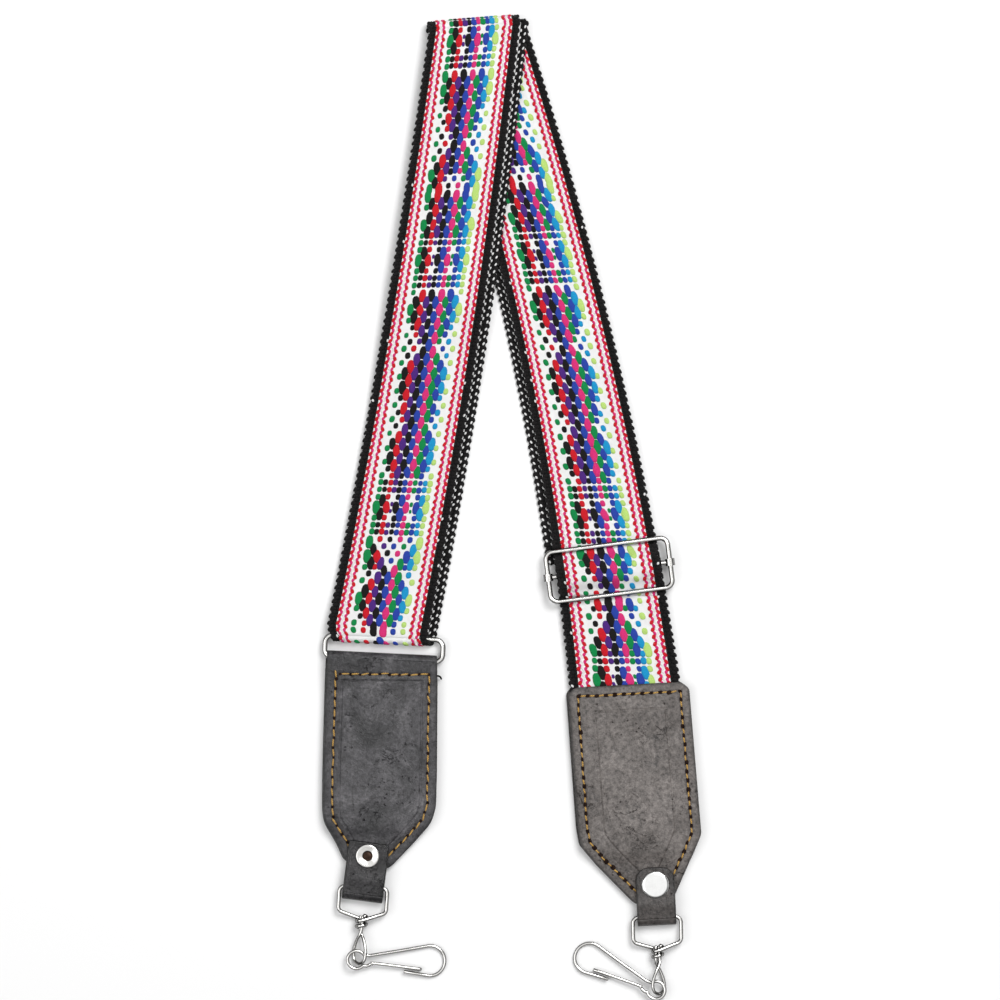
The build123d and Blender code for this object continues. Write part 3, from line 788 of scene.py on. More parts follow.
def dress(run, body, place, start, end, up, down, draft="left", ahead=0.0):
    """Ground cloth and yarns of one run. up and down name what each face shows.

    ahead is how far along the draft the run's own s = 0 lies.
    """
    offset = START[draft] - ahead
    ground = cloth(f"{run}_ground", place, start, end)
    edging, lines, floats = Yarns(), Yarns(), Yarns()
    add_selvedge(edging, start, end, SPECKED[up], SPECKED[down])
    for face, flipped, base in ((up, False, SLAB[1]), (down, True, SLAB[0])):
        if face == "plain":
            continue
        add_zigzag(lines, start, end, base, flipped)
        add_floats(floats, draft, start, end, base, flipped, offset, face == "reverse")
    pieces = [ground, edging.object(f"{run}_edging", place)]
    if floats.count:
        pieces.append(lines.object(f"{run}_lines", place))
        pieces.append(floats.object(f"{run}_floats", place))
    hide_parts(run)
    for piece in pieces:
        if isinstance(body, str):
            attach(piece, body)
        else:
            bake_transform(piece)


# ---- The band's runs -----------------------------------------------------------------

RUN_START = -0.4         # mm, tucks a run's end into the fold
RETURN_SHARE = 0.825     # of the right arm's length, where its lower run ends at the slider


def right_runs():
    """Both runs of the right arm. Returns the upper one's place and length."""
    upper, length = arm(RIGHT_INNER, RIGHT_OUTER, 0.0, level(UPPER_Z))
    dress("right_arm_band", "root", upper, RUN_START, length + 20.0, "pattern", "reverse", "right")
    lower, length = arm(RIGHT_INNER, RIGHT_OUTER, RIGHT_SHIFT, level(0.0))
    dress("right_arm_return_band", "root", lower, RUN_START, length * RETURN_SHARE, "plain",
          "pattern", "right")
    return upper, length


def left_runs():
    """Both runs of the left arm. Returns the upper one's length."""
    lower_z, upper_z = left_profiles()
    upper, length = arm(LEFT_OUTER, LEFT_INNER, 0.0, upper_z, tuck=2.4)
    dress("left_arm_band", "left_arm", upper, RUN_START, length - 0.8, "pattern", "plain")
    lower, length = arm(LEFT_OUTER, LEFT_INNER, LEFT_SHIFT, lower_z)
    dress("left_arm_return_band", "left_arm", lower, RUN_START, length - 0.8, "plain",
          "pattern")
    return length


# Each bend's sides below and above, from the bar's middle, and its inner radius
FOLD_INNER = ((-19.6, 21.4), (-18.1, 21.9), 0.4)
FOLD_OUTER = ((-22.9, 18.2), (-21.9, 19.0), 2.3)
RING_BEND = ((-22.6, 23.0), (-24.2, 19.6), 1.5)
FOLD_ROWS_AHEAD = 30     # rows of the draft that the outer band of the fold has ahead of it


def fold_bends():
    """The two layers of the top fold, between the right arm below and the left arm above."""
    x, y = FOLD_AT[0] * MM, (FOLD_AT[1] + 2) * MM
    between_bodies = ("root", "left_arm", (x, y, 0.0), (x, y, 2 * FOLD_Z * MM))
    inner, length = half_turn(FOLD_AT, FOLD_TILT, FOLD_Z, *FOLD_INNER, 1)
    dress("fold_inner_band", between_bodies, inner, 0.0, length, "plain", "pattern")
    outer, length = half_turn(FOLD_AT, FOLD_TILT, FOLD_Z, *FOLD_OUTER, 1)
    dress("fold_outer_band", between_bodies, outer, 0.0, length, "pattern", "plain",
          ahead=FOLD_ROWS_AHEAD * ROW["left"] + START["left"])


def ring_turn(arm_length):
    """The band where it turns round the ring's upper side."""
    turn, length = half_turn(RING_AT, RING_TILT, RING_Z, *RING_BEND, -1)

    def shifted(s, t, h):
        points = turn(s, t, h)
        x, y = in_frame((0, 0), RING_TILT, 0.0, RING_BAR)
        return points + np.array([x, y, 0.0])

    dress("ring_turn_band", "left_arm", shifted, 0.0, length, "pattern", "plain",
          ahead=arm_length)


BAR_RISE = [(-12.3, 3.95), (-9.1, 3.95), (-3.6, 9.5), (3.6, 9.5), (9.1, 3.95), (12.3, 3.95)]
ARCH_REACH = 11.9        # mm that the arch reaches to each side of the slider's bar


def slider_arch(upper, length):
    """The band where it rises over the slider's bar."""
    ys, zs = np.array(BAR_RISE).T

    def from_bar(points):
        return own_place(SLIDER_AT, SLIDER_TILT, points[:, 0], points[:, 1])[1]

    def place(s, t, h):
        points = upper(s, t, h)
        y = from_bar(points)
        steps = (-1.2, -0.6, 0.0, 0.6, 1.2)
        top = sum(np.interp(y + d, ys, zs) for d in steps) / len(steps)
        thick = np.interp(np.abs(y), [3.6, 9.1], [1.4, 0.35])
        share = thick / WEB
        above = np.where(h > SLAB[1], SLAB[1] * share + (h - SLAB[1]), h * share)
        points[:, 2] = top - thick + above
        return points

    s = np.linspace(length * 0.78, length * 0.875, 400)
    inside = s[np.abs(from_bar(upper(s, np.full(400, 0.5), np.zeros(400)))) < ARCH_REACH]
    dress("slider_arch_band", "slider", place, inside.min(), inside.max(), "pattern", "plain",
          "right")


# ---- Leather -------------------------------------------------------------------------

FAR_LINE = 9.0           # mm, a place that no pressed line reaches
FAR_RIM = 3.0            # mm, a place that no darkened edge reaches
LEATHER_WINDOW = 1.6     # mm over which the front leather's steps are softened
OPEN_TOP = 20.0          # mm that the folded sheet runs on past its panels' top edges
RING_LEATHER = (-25.6, 24.4)     # the folded sheet's sides, from the ring's middle
STRIP_UNDER = 0.08       # mm that the tongue's strip lies under the back leather


def chains(outline):
    """The outline's left and right sides as functions x(y)."""
    ys = [p[1] for p in outline]
    top, bottom = int(np.argmax(ys)), int(np.argmin(ys))
    count = len(outline)

    def walk(step):
        found, n = [], top
        while True:
            found.append(outline[n])
            if n == bottom:
                return found
            n = (n + step) % count

    first, second = walk(1), walk(-1)
    if np.mean([p[0] for p in first]) > np.mean([p[0] for p in second]):
        first, second = second, first

    def side(points):
        points = sorted(points, key=lambda p: p[1])
        return np.array([p[1] for p in points]), np.array([p[0] for p in points])

    return side(first), side(second)


def rounded(outline, reach, sharp=()):
    """The outline with its corners cut again and again until they are round.

    reach is about the corner's radius. The corners numbered in sharp stay as they are.
    """
    points = [np.array(p, float) for p in outline]
    kept = [n in sharp for n in range(len(points))]
    for _ in range(3):
        new, new_kept = [], []
        count = len(points)
        for n, here in enumerate(points):
            before, after = points[n - 1], points[(n + 1) % count]
            if kept[n]:
                new.append(here)
                new_kept.append(True)
                continue
            for other in (before, after):
                size = np.linalg.norm(other - here)
                share = min(0.3, reach / max(1e-6, size))
                new.append(here + (other - here) * share)
                new_kept.append(False)
        points, kept = new, new_kept
        reach *= 0.45
    return [tuple(p) for p in points]


def edge_distance(outline, x, y):
    """Distance from points to the nearest part of a closed outline."""
    nearest = np.full(x.shape, 1e9)
    for n, (ax, ay) in enumerate(outline):
        bx, by = outline[(n + 1) % len(outline)]
        dx, dy = bx - ax, by - ay
        size = dx * dx + dy * dy
        if size < 1e-12:
            continue
        u = np.clip(((x - ax) * dx + (y - ay) * dy) / size, 0, 1)
        nearest = np.minimum(nearest, np.hypot(x - ax - u * dx, y - ay - u * dy))
    return nearest


EDGE_STEPS = np.array([0.0, 0.12, 0.35, 0.7, 1.2, 1.8])  # mm in from a panel's edge
PANEL_STEP = 0.8
PANEL_COLUMNS = 64


def panel_grid(outline):
    """Points inside an outline, row by row, closer together at its edges."""
    (left_y, left_x), (right_y, right_x) = chains(outline)
    top, bottom = max(left_y.max(), right_y.max()), min(left_y.min(), right_y.min())
    fine = EDGE_STEPS
    rows = np.concatenate([fine, np.arange(2.5, top - bottom - 2.5, PANEL_STEP)])
    ys = np.concatenate([top - rows, bottom + fine[::-1]])
    ys[0] -= 0.01
    ys[-1] += 0.01
    spread = np.linspace(0, 1, PANEL_COLUMNS)
    x, y = [], []
    for at in ys:
        a, b = np.interp(at, left_y, left_x), np.interp(at, right_y, right_x)
        width = b - a
        ends = np.minimum(fine, width / 2.2 * np.linspace(0, 0.5, len(fine)))
        middle = a + ends[-1] + (width - 2 * ends[-1]) * spread
        line = np.concatenate([a + ends[:-1], middle, b - ends[:-1][::-1]])
        x.append(line)
        y.append(np.full(line.shape, at))
    return np.array(x), np.array(y)


def rounded_edge(distance, radius=0.55):
    """How far the surface falls near the edge."""
    d = np.clip(distance, 0, radius)
    return radius - np.sqrt(np.maximum(0.0, radius ** 2 - (radius - d) ** 2))


def panel(name, outline, top_z, bottom_z, relief, materials, stitched=None, open_top=0.0):
    """A leather panel with a rounded top edge. relief(distance, x, y) is added to the top.

    stitched is the outline that the stitching and the pressed lines follow, if it isn't the
    panel's own. open_top is how far the panel's top edge runs on out of sight, unrounded.
    """
    x, y = panel_grid(outline)
    shape = x.shape
    x, y = x.ravel(), y.ravel()
    highest = max(p[1] for p in outline)
    longer = [(px, py + open_top) if py > highest - 5 else (px, py) for px, py in outline]
    rim_distance = edge_distance(longer, x, y)
    line_distance = rim_distance if stitched is None else edge_distance(stitched, x, y)
    if stitched is not None:
        above = y > max(p[1] for p in stitched) - 0.4
        line_distance = np.where(above, np.minimum(line_distance, 0.4), line_distance)
    top = top_z(y) - rounded_edge(rim_distance) + relief(line_distance, x, y)
    bottom = bottom_z(y) + rounded_edge(rim_distance, 0.35)
    return two_sided(name, np.stack([x, y, top], 1), np.stack([x, y, bottom], 1), shape,
                     materials, line_distance, rim_distance)


def two_sided(name, outer, inner, shape, materials, line_distance, rim_distance):
    """Leather from two grids of points, with its cut edge in the second material."""
    count = len(outer)
    rim = rim_of(np.arange(count).reshape(shape))
    wall = loop_faces(rim, rim + count)
    faces = np.concatenate([grid_faces(*shape, flip=True), grid_faces(*shape, start=count), wall])
    slots = np.zeros(len(faces), int)
    slots[-len(wall):] = 1
    return make_object(name, np.concatenate([outer, inner]), faces, materials, slots,
                       edge_mm=np.concatenate([line_distance, np.full(count, FAR_LINE)]),
                       rim_mm=np.concatenate([rim_distance, np.full(count, FAR_RIM)]))


def rim_of(number):
    """The point numbers round the edge of a grid, closed."""
    return np.concatenate([number[0], number[1:, -1], number[-1][::-1][1:],
                           number[::-1, 0][1:]])


GROOVE_DEPTH = 0.34      # mm that the stitching is pressed down
FIELD_EDGE = 5.9         # mm from the edge to where the raised field begins
EDGE_DEPTH = 0.20        # mm that the leather thins out at its edge
SECOND_RISE = 0.34


def panel_relief(plateau, second=None):
    """Pressed-down stitching, a raised field inside it and slight hand-made waves.

    plateau is the field's height. second is where a second step rises, in mm from the edge.
    """
    def relief(d, x, y):
        groove = -GROOVE_DEPTH * np.exp(-((d - STITCH_INSET) / 0.9) ** 2)
        field = plateau * (1 / (1 + np.exp(-(d - FIELD_EDGE) / 0.45)))
        low_edge = -EDGE_DEPTH * np.exp(-(d / 2.2) ** 2)
        if second is not None:
            field = field + SECOND_RISE * (1 / (1 + np.exp(-(d - second) / 0.35)))
        wave = 0.12 * np.sin(x / 5.1 + y / 9.7) + 0.09 * np.sin(x / 2.9 - y / 4.3)
        dent = 0.06 * np.sin(x / 1.3 + 2.0 * np.sin(y / 3.7))
        return groove + field + low_edge + wave + dent

    return relief


def unpressed(d, x, y):
    return np.zeros(np.shape(d))


def right_tab():
    """Two sheets of grey leather, stitched round the band's end and the stiffener."""
    outline = rounded(RIGHT_TAB, 0.8)
    end = CROWN_END["right"]
    base = smooth_profile([(0, FRONT_Z), (end, FRONT_Z), (end - 5, TIP_Z), (-260, TIP_Z)],
                          LEATHER_WINDOW)
    skins = [GREY_LEATHER, GREY_CUT]
    relief = panel_relief(0.24, 11.5)
    front = panel("right_front_panel", outline, lambda y: base(y) + LEATHER, base, relief, skins)
    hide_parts("right_front_leather")
    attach(front, "root")
    peeking = [(x - 0.9, y + 0.5) for x, y in outline]
    back = panel("right_back_panel", peeking, level(LEATHER), level(0.0), unpressed, skins)
    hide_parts("right_back_leather")
    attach(back, "root")
    tongue_parts("right", "root", [GREY_TONGUE, GREY_CUT])
    stitches("right", RIGHT_TAB, lambda y: base(y) + LEATHER, relief, "root")


def left_tab():
    """One sheet of leather, folded round the ring's lower side."""
    ring_side = []
    for across in reversed(RING_LEATHER):
        px, py = in_frame(RING_AT, RING_TILT, across, -RING_BAR + 0.3)
        ring_side.append((float(px), float(py)))
    shoulders = [ring_side[0], (-34.2, -80.0)]
    other = [(-84.9, -78.0), ring_side[1]]
    folded = rounded(shoulders + LEFT_TAB[1:-1] + other, 1.5, sharp=(0, len(LEFT_TAB) + 1))
    end = CROWN_END["left"]
    bar = RING_AT[1] - RING_BAR
    base = smooth_profile([(0, OVER_RING), (bar - 1.5, OVER_RING), (bar - 12, FRONT_Z),
                           (end, FRONT_Z), (end - 5, TIP_Z), (-260, TIP_Z)], LEATHER_WINDOW)
    skins = [CHARCOAL, CHARCOAL_CUT]
    pressed = panel_relief(0.30)

    def relief(d, x, y):
        """The pressed relief, fading out where the sheet begins to bend round the ring."""
        return pressed(d, x, y) * np.clip((bar - y) / 7.0, 0.0, 1.0)

    front = panel("left_front_panel", folded, lambda y: base(y) + LEATHER, base, relief, skins,
                  rounded(LEFT_TAB, 0.5), open_top=OPEN_TOP)
    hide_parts("left_tab_leather")
    peeking = [(x - 0.6, y) for x, y in folded]
    back = panel("left_back_panel", peeking, level(LEATHER), level(0.0), unpressed, skins,
                 open_top=OPEN_TOP)
    turn = leather_turn()
    for piece in (front, back, turn):
        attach(piece, "left_tab")
    tongue_parts("left", "left_tab", [DARK_TONGUE, CHARCOAL_CUT])
    stitches("left", LEFT_TAB, lambda y: base(y) + LEATHER, relief, "left_tab")
    thread_end()


def thread_end():
    """A short end of dark thread at the tab's right edge."""
    path = [(-35.6, -76.9, 2.6), (-34.0, -77.2, 2.9), (-33.0, -77.7, 2.7), (-32.6, -78.6, 2.2)]
    points, faces = tube(curve_through(path, 5), 0.42)
    piece = make_object("left_thread_end", points, faces, [YARN["black"]])
    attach(piece, "left_tab")


def leather_turn():
    """The left leather where it turns round the ring's lower side."""
    place, length = half_turn(RING_AT, RING_TILT, RING_Z, RING_LEATHER, RING_LEATHER, 1.5, 1)
    x, y = in_frame((0, 0), RING_TILT, 0.0, -RING_BAR)

    def lowered(s, t, h):
        return place(s, t, h) + np.array([x, y, 0.0])

    return bent_slab("left_ring_turn", lowered, 0.0, length, 50.0, [CHARCOAL, CHARCOAL_CUT])


def bent_slab(name, place, start, end, width, materials, finished_end=False):
    """A strip of leather along a place(s, t, h), with rounded edges."""
    s = np.linspace(start, end, max(8, int((end - start) / 0.35)))
    fine = np.array([0.0, 0.15, 0.4, 0.8, 1.5]) / width
    inner_t = fine[-1] + 0.02
    t = np.concatenate([fine, np.linspace(inner_t, 1 - inner_t, 30), 1 - fine[::-1]])
    ss, tt = np.meshgrid(s, t, indexing="ij")
    shape = ss.shape
    ss, tt = ss.ravel(), tt.ravel()
    d = np.minimum(tt, 1 - tt) * width
    if finished_end:
        d = np.minimum(d, end - ss)
    outer = place(ss, tt, LEATHER - rounded_edge(d))
    inner = place(ss, tt, rounded_edge(d, 0.3))
    return two_sided(name, outer, inner, shape, materials, np.full(len(ss), FAR_LINE), d)


def tongue_parts(side, home, skins):
    """The tongue: a strip out of the tab, the bend round the loop's bar, and the flap."""
    data = TONGUE[side]
    half = data["width"] / 2

    def flat(x, y, z):
        px, py = in_frame(data["bend"], data["tilt"], x, y)
        return np.stack([px, py, z], axis=1)

    reach = data["top"] - data["bend"][1] + STRIP_HOLD

    def strip_place(s, t, h):
        return flat(-half + 2 * half * t, s, h - STRIP_UNDER)

    strip = bent_slab(f"{side}_tongue_strip", strip_place, 0.0, reach, data["width"], skins)
    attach(strip, home)
    bend_place, length = half_turn(data["bend"], data["tilt"], LEATHER + BEND_INSIDE,
                                   (-half, half), (-half, half), BEND_INSIDE, -1)
    bend = bent_slab(f"{side}_tongue_turn", bend_place, 0.0, length, data["width"], skins)
    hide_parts(f"{side}_tongue_bend")
    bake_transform(bend)
    end = data["flap"]
    corner = FLAP_CORNER[side]

    def flap_place(s, t, h):
        """Rounded at its end, bulging after the bend and pressed down round the snap."""
        into = np.clip((s - end + corner) / corner, 0, 1)
        narrow = half - corner * (1 - np.sqrt(np.maximum(0.0, 1 - into ** 2)))
        bulge = 0.55 * np.exp(-((s - 6.5) / 2.6) ** 2) - 0.25 * np.exp(-(s / 1.8) ** 2)
        press = -0.30 * np.exp(-((s - data["snap"]) / 5.0) ** 4)
        crown = -0.35 * np.abs(2 * t - 1) ** 3
        return flat(narrow * (2 * t - 1), s,
                    FLAP_Z + h + (bulge + press + crown) * (h > LEATHER / 2))

    flap = bent_slab(f"{side}_flap_leather", flap_place, 0.0, end, data["width"], skins,
                     finished_end=True)
    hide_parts(f"{side}_tongue_flap")
    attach(flap, f"{side}_flap")


def inset_corners(outline, distance):
    """The outline moved inward, corner by corner."""
    count = len(outline)
    area = sum(outline[n][0] * outline[(n + 1) % count][1]
               - outline[(n + 1) % count][0] * outline[n][1] for n in range(count))
    inward = 1.0 if area > 0 else -1.0
    moved = []
    for n in range(count):
        a, b, c = (np.array(outline[(n + k) % count], float) for k in (-1, 0, 1))
        before = (b - a) / np.linalg.norm(b - a)
        after = (c - b) / np.linalg.norm(c - b)
        n1 = inward * np.array([-before[1], before[0]])
        n2 = inward * np.array([-after[1], after[0]])
        both = n1 + n2
        moved.append(b + both * distance / (1 + n1 @ n2))
    return moved


def along(points, pitch):
    """Evenly spaced places and directions along a closed line."""
    closed = [*points, points[0]]
    sizes = [np.linalg.norm(closed[n + 1] - closed[n]) for n in range(len(points))]
    total = sum(sizes)
    count = int(total / pitch)
    found = []
    for k in range(count):
        left = (k + 0.5) / count * total
        n = 0
        while left > sizes[n]:
            left -= sizes[n]
            n += 1
        direction = (closed[n + 1] - closed[n]) / sizes[n]
        found.append((closed[n] + direction * left, direction))
    return found


def under_flap(side, x, y):
    """Whether a stitch there would lie wholly under the tongue's flap."""
    data = TONGUE[side]
    across, up = own_place(data["bend"], data["tilt"], x, y)
    return abs(across) < data["width"] / 2 - 1.0 and -4 < up < data["flap"] - 1.0


STITCH_PROBES = (-0.7, -0.5, 0.0, 0.4)   # in pitches, where the leather's height is taken
THREAD_RISE = 0.46
HOLE_RISE = 0.22
STITCH = {       # pitch, thread's half length and half width, hole's half length and half width
    "right": (4.1, 1.55, 0.42, 1.25, 1.12),
    "left": (4.45, 2.05, 0.42, 0.80, 0.72),
}


def stitches(side, outline, top_z, relief, body):
    """Slanting saddle stitches pressed into the leather, with a painted-shade needle hole at each
    end.
    """
    points, faces, slots = [], [], []
    count = 0
    pitch, long_half, wide_half, hole_long, hole_wide = STITCH[side]
    for at, direction in along(inset_corners(outline, STITCH_INSET), pitch):
        if under_flap(side, *at):
            continue
        under = np.array([at + direction * pitch * part for part in STITCH_PROBES])
        x, y = under.T
        surface = float((top_z(y) + relief(np.full(len(x), STITCH_INSET), x, y)).max())
        turn = math.degrees(math.atan2(direction[1], direction[0])) + chance.normal(5, 4)
        at = at + np.array([-direction[1], direction[0]]) * chance.normal(0, 0.12)
        # The second pillow is painted shade, a dark patch standing for the needle hole.
        for (shape, shape_faces), centre, half_long, half_wide, height, slot in (
                (BALL, 0.0, long_half, wide_half, THREAD_RISE, 0),
                (DOME, -pitch / 2, hole_long, hole_wide, HOLE_RISE, 1)):
            x, y = in_frame(at, turn, shape[:, 0] * half_long + centre, shape[:, 1] * half_wide)
            arch = (1 - 0.3 * np.abs(shape[:, 0])) if slot == 0 else 1.0
            points.append(np.stack([x, y, surface + shape[:, 2] * height * arch], 1))
            faces.extend([n + count for n in face] for face in shape_faces)
            slots.extend([slot] * len(shape_faces))
            count += len(shape)
    piece = make_object(f"{side}_saddle_stitches", np.concatenate(points), faces, [THREAD, NEEDLE_HOLE_SHADE],
                        slots)
    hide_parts(f"{side}_tab_stitching")
    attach(piece, body)


# ---- Wire ----------------------------------------------------------------------------

def curve_through(points, steps):
    """A smooth curve through the points."""
    points = [np.array(p, float) for p in points]
    points = [2 * points[0] - points[1], *points, 2 * points[-1] - points[-2]]
    found = []
    for n in range(1, len(points) - 2):
        a, b, c, d = points[n - 1:n + 3]
        for k in range(steps):
            t = k / steps
            found.append(0.5 * (2 * b + (c - a) * t + (2 * a - 5 * b + 4 * c - d) * t ** 2
                                + (3 * b - a - 3 * c + d) * t ** 3))
    found.append(points[-2])
    return np.array(found)


def bent_path(points, corner, steps=8):
    """Straight lines through the points, with each corner turned into an arc."""
    points = [np.array(p, float) for p in points]
    found = [points[0]]
    for n in range(1, len(points) - 1):
        before, here, after = points[n - 1:n + 2]
        u = (before - here) / np.linalg.norm(before - here)
        v = (after - here) / np.linalg.norm(after - here)
        half = math.acos(max(-1.0, min(1.0, float(u @ v)))) / 2
        cut = min(corner / math.tan(half), 0.48 * np.linalg.norm(before - here),
                  0.48 * np.linalg.norm(after - here))
        weight = math.sin(half)
        for k in range(steps + 1):
            t = k / steps
            w = np.array([(1 - t) ** 2, 2 * t * (1 - t) * weight, t * t])
            corner_points = (w[0] * (here + u * cut) + w[1] * here + w[2] * (here + v * cut))
            found.append(corner_points / w.sum())
    found.append(points[-1])
    return np.array(found)


END_REACH = 0.35         # shares of the wire's radius, for its softened ends
END_SIZE = 0.72


def tube(path, radius, sides=20):
    """Points and faces of a round wire along a path, with softly rounded ends."""
    path = np.asarray(path, float)
    away = np.gradient(path, axis=0)
    away /= np.linalg.norm(away, axis=1)[:, None]
    first, last = away[0], away[-1]
    path = np.concatenate([[path[0] - first * radius * END_REACH], path,
                           [path[-1] + last * radius * END_REACH]])
    away = np.concatenate([[first], away, [last]])
    sizes = np.full(len(path), radius)
    sizes[[0, -1]] = radius * END_SIZE
    guess = np.array([0.0, 0.0, 1.0]) if abs(away[0][2]) < 0.9 else np.array([1.0, 0.0, 0.0])
    side = np.cross(away[0], guess)
    side /= np.linalg.norm(side)
    angles = np.arange(sides) * 2 * math.pi / sides
    rings = []
    for at, direction, size in zip(path, away, sizes):
        side = side - direction * (side @ direction)
        side /= np.linalg.norm(side)
        up = np.cross(direction, side)
        rings.append(at + size * (np.outer(np.cos(angles), side) + np.outer(np.sin(angles), up)))
    faces = ring_faces(len(path), sides, flip=True)
    faces.append(tuple(range(sides)))
    end = (len(path) - 1) * sides
    faces.append(tuple(end + i for i in reversed(range(sides))))
    return np.concatenate(rings), faces


def wires(name, paths, radius, to_strap, body, *nodes):
    """One piece made of several bent wires, standing for CAD nodes."""
    points, faces, count = [], [], 0
    for path in paths:
        some, theirs = tube(to_strap(np.asarray(path, float)), radius)
        points.append(some)
        faces.extend(tuple(n + count for n in face) for face in theirs)
        count += len(some)
    piece = make_object(name, np.concatenate(points), faces, [NICKEL])
    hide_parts(*nodes)
    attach(piece, body)


def turn_about(axis, degrees):
    c, s = math.cos(math.radians(degrees)), math.sin(math.radians(degrees))
    rows = {"x": [[1, 0, 0], [0, c, -s], [0, s, c]], "y": [[c, 0, s], [0, 1, 0], [-s, 0, c]],
            "z": [[c, -s, 0], [s, c, 0], [0, 0, 1]]}
    return np.array(rows[axis], float)


# Where each wire loop's bar is, and the loop's angle
CHAIN = {"left": ((-67.79, -172.93, 3.25), -3.6), "right": ((65.27, -186.60, 3.25), 1.5)}
HOOK_AT = {              # the ring's centre, the hook's angle and its roll
    "left": ((-71.07, -205.99, 3.25), 0.0, 0.0), "right": ((64.94, -219.82, 3.25), 153.4, 180.0),
}
EYE_ROLL = {"left": -38.0, "right": 38.0}
HOOK_DROOP = 3.6
LOOP_WIRE = 0.9
HOOK_WIRE = 0.75
GATE_WIRE = 0.7275
SWIVEL_WIRE = 0.72
COIL = 2.12              # radius of the loop's wire where it is wound on the swivel


def coil(first, last, start_y, end_y):
    """A helix about the Y axis, between two angles from straight up."""
    count = max(6, int(abs(last - first) / 18))
    found = []
    for k in range(count + 1):
        share = k / count
        angle = math.radians(first + (last - first) * share)
        found.append((COIL * math.sin(angle), start_y + (end_y - start_y) * share,
                      COIL * math.cos(angle)))
    return found


HOOK_RING = (0.0, 0.0, 4.05)     # centre and radius of the hook's ring
HOOK_NOSE = (33.4, -0.65, 6.8)   # and of its round nose


def flat_arc(x, y, radius, angles):
    angles = np.radians(list(angles))
    return [(x + radius * math.cos(r), y + radius * math.sin(r), 0.0) for r in angles]


def hook_chain(side):
    """The wire loop, the swivel's eye, the hook and its gate."""
    centre, tilt = CHAIN[side]
    chain_turn = turn_about("z", tilt)

    def in_chain(points):
        return points @ chain_turn.T + np.array(centre)

    right_half = [(0, 0, 0), (10.9, 0, 0), (10.9, -11.2, 0), (3.4, -14.6, 1.2)]
    right_half = [*bent_path(right_half, 2.6)[:-1], *coil(28, -500, -14.9, -18.4)]
    left_half = [(0, 0, 0), (-10.9, 0, 0), (-10.9, -11.2, 0), (-3.4, -14.3, -1.0)]
    left_half = [*bent_path(left_half, 2.6)[:-1], *coil(-150, -330, -14.6, -12.9)]
    wires(f"{side}_loop_wire", [right_half, left_half], LOOP_WIRE, in_chain, f"{side}_loop",
          f"{side}_loop")

    roll = turn_about("y", EYE_ROLL[side])

    def in_eye(points):
        return in_chain(points @ roll.T)

    leg = [(0.75, -13.2, 0.2), (0.72, -16.0, 0.25), (0.72, -19.4, 0.5), (0.1, -21.6, 0.78),
           (-1.6, -24.4, 0.62), (-3.0, -28.0, 0.25), (-3.45, -31.2, 0.0), (-2.5, -33.8, 0.0),
           (0.0, -34.9, 0.0)]
    other = [(-x, y, -z) for x, y, z in leg]
    whole = curve_through([*leg, *other[::-1][1:]], 6)
    wires(f"{side}_swivel_wire", [whole], SWIVEL_WIRE, in_eye, f"{side}_swivel",
          f"{side}_swivel_eye")

    at, angle, flip = HOOK_AT[side]
    hook_turn = turn_about("z", angle) @ turn_about("y", HOOK_DROOP) @ turn_about("x", flip)

    def in_hook(points):
        return points @ hook_turn.T + np.array(at)

    ring = flat_arc(*HOOK_RING, range(-40, -331, -10))
    nose = flat_arc(*HOOK_NOSE, range(98, -99, -7))
    arm_wire = [*bent_path([ring[-1], (5.9, 1.8, 0), (20.0, 4.0, 0)], 4.6, 12), *nose,
                (21.8, -5.5, 0.0)]
    heel = curve_through([(6.3, -2.2, 0.0), (4.6, -2.9, 0.0), ring[0]], 4)
    path = np.concatenate([heel[:-1], ring[:-1], arm_wire])
    wires(f"{side}_hook_wire", [path], HOOK_WIRE, in_hook, f"{side}_hook", f"{side}_hook")
    gate = curve_through([(6.9, -2.1, 0), (8.6, -1.75, 0), (29.4, -4.5, 0)], 8)
    wires(f"{side}_gate_wire", [gate], GATE_WIRE, in_hook, f"{side}_gate",
          f"{side}_hook_gate")


def lathe(name, centre, profile, materials, slots, sides=48):
    """A turned piece from (radius, height) points, from the outside in."""
    angles = np.arange(sides) * 2 * math.pi / sides
    points = [np.stack([centre[0] + radius * np.cos(angles),
                        centre[1] + radius * np.sin(angles), np.full(sides, height)], 1)
              for radius, height in profile]
    return make_object(name, np.concatenate(points), ring_faces(len(profile), sides),
                       materials, np.repeat(slots, sides))


CAPS = {         # plate, material of each step, (radius, height above the flap) inwards
    "right": (POLISHED, [0] * 7, [
        (6.2, -0.3), (6.25, 0.15), (6.1, 0.5), (5.7, 0.8), (5.1, 0.97), (4.4, 1.04), (2.5, 1.07),
        (0.02, 1.08)]),
    "left": (NICKEL, [0] * 9 + [1] * 4, [
        (5.35, -0.3), (5.4, 0.4), (5.3, 0.75), (5.0, 0.98), (4.6, 1.0), (4.0, 0.85), (3.2, 0.62),
        (2.5, 0.48), (2.25, 0.40), (2.15, 0.10), (1.6, 0.06), (1.25, 0.22), (0.8, 0.34),
        (0.02, 0.36)]),
}


def snap_caps():
    """A smooth cap on the right flap, and one with a browned rivet hole on the left."""
    top = FLAP_Z + LEATHER
    for side, (plate, marks, steps) in CAPS.items():
        data = TONGUE[side]
        x, y = in_frame(data["bend"], data["tilt"], 0.0, data["snap"])
        profile = [(radius, top + height) for radius, height in steps]
        cap = lathe(f"{side}_cap_metal", (float(x), float(y)), profile, [plate, BROWNED],
                    marks)
        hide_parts(f"{side}_snap_cap")
        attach(cap, f"{side}_flap")


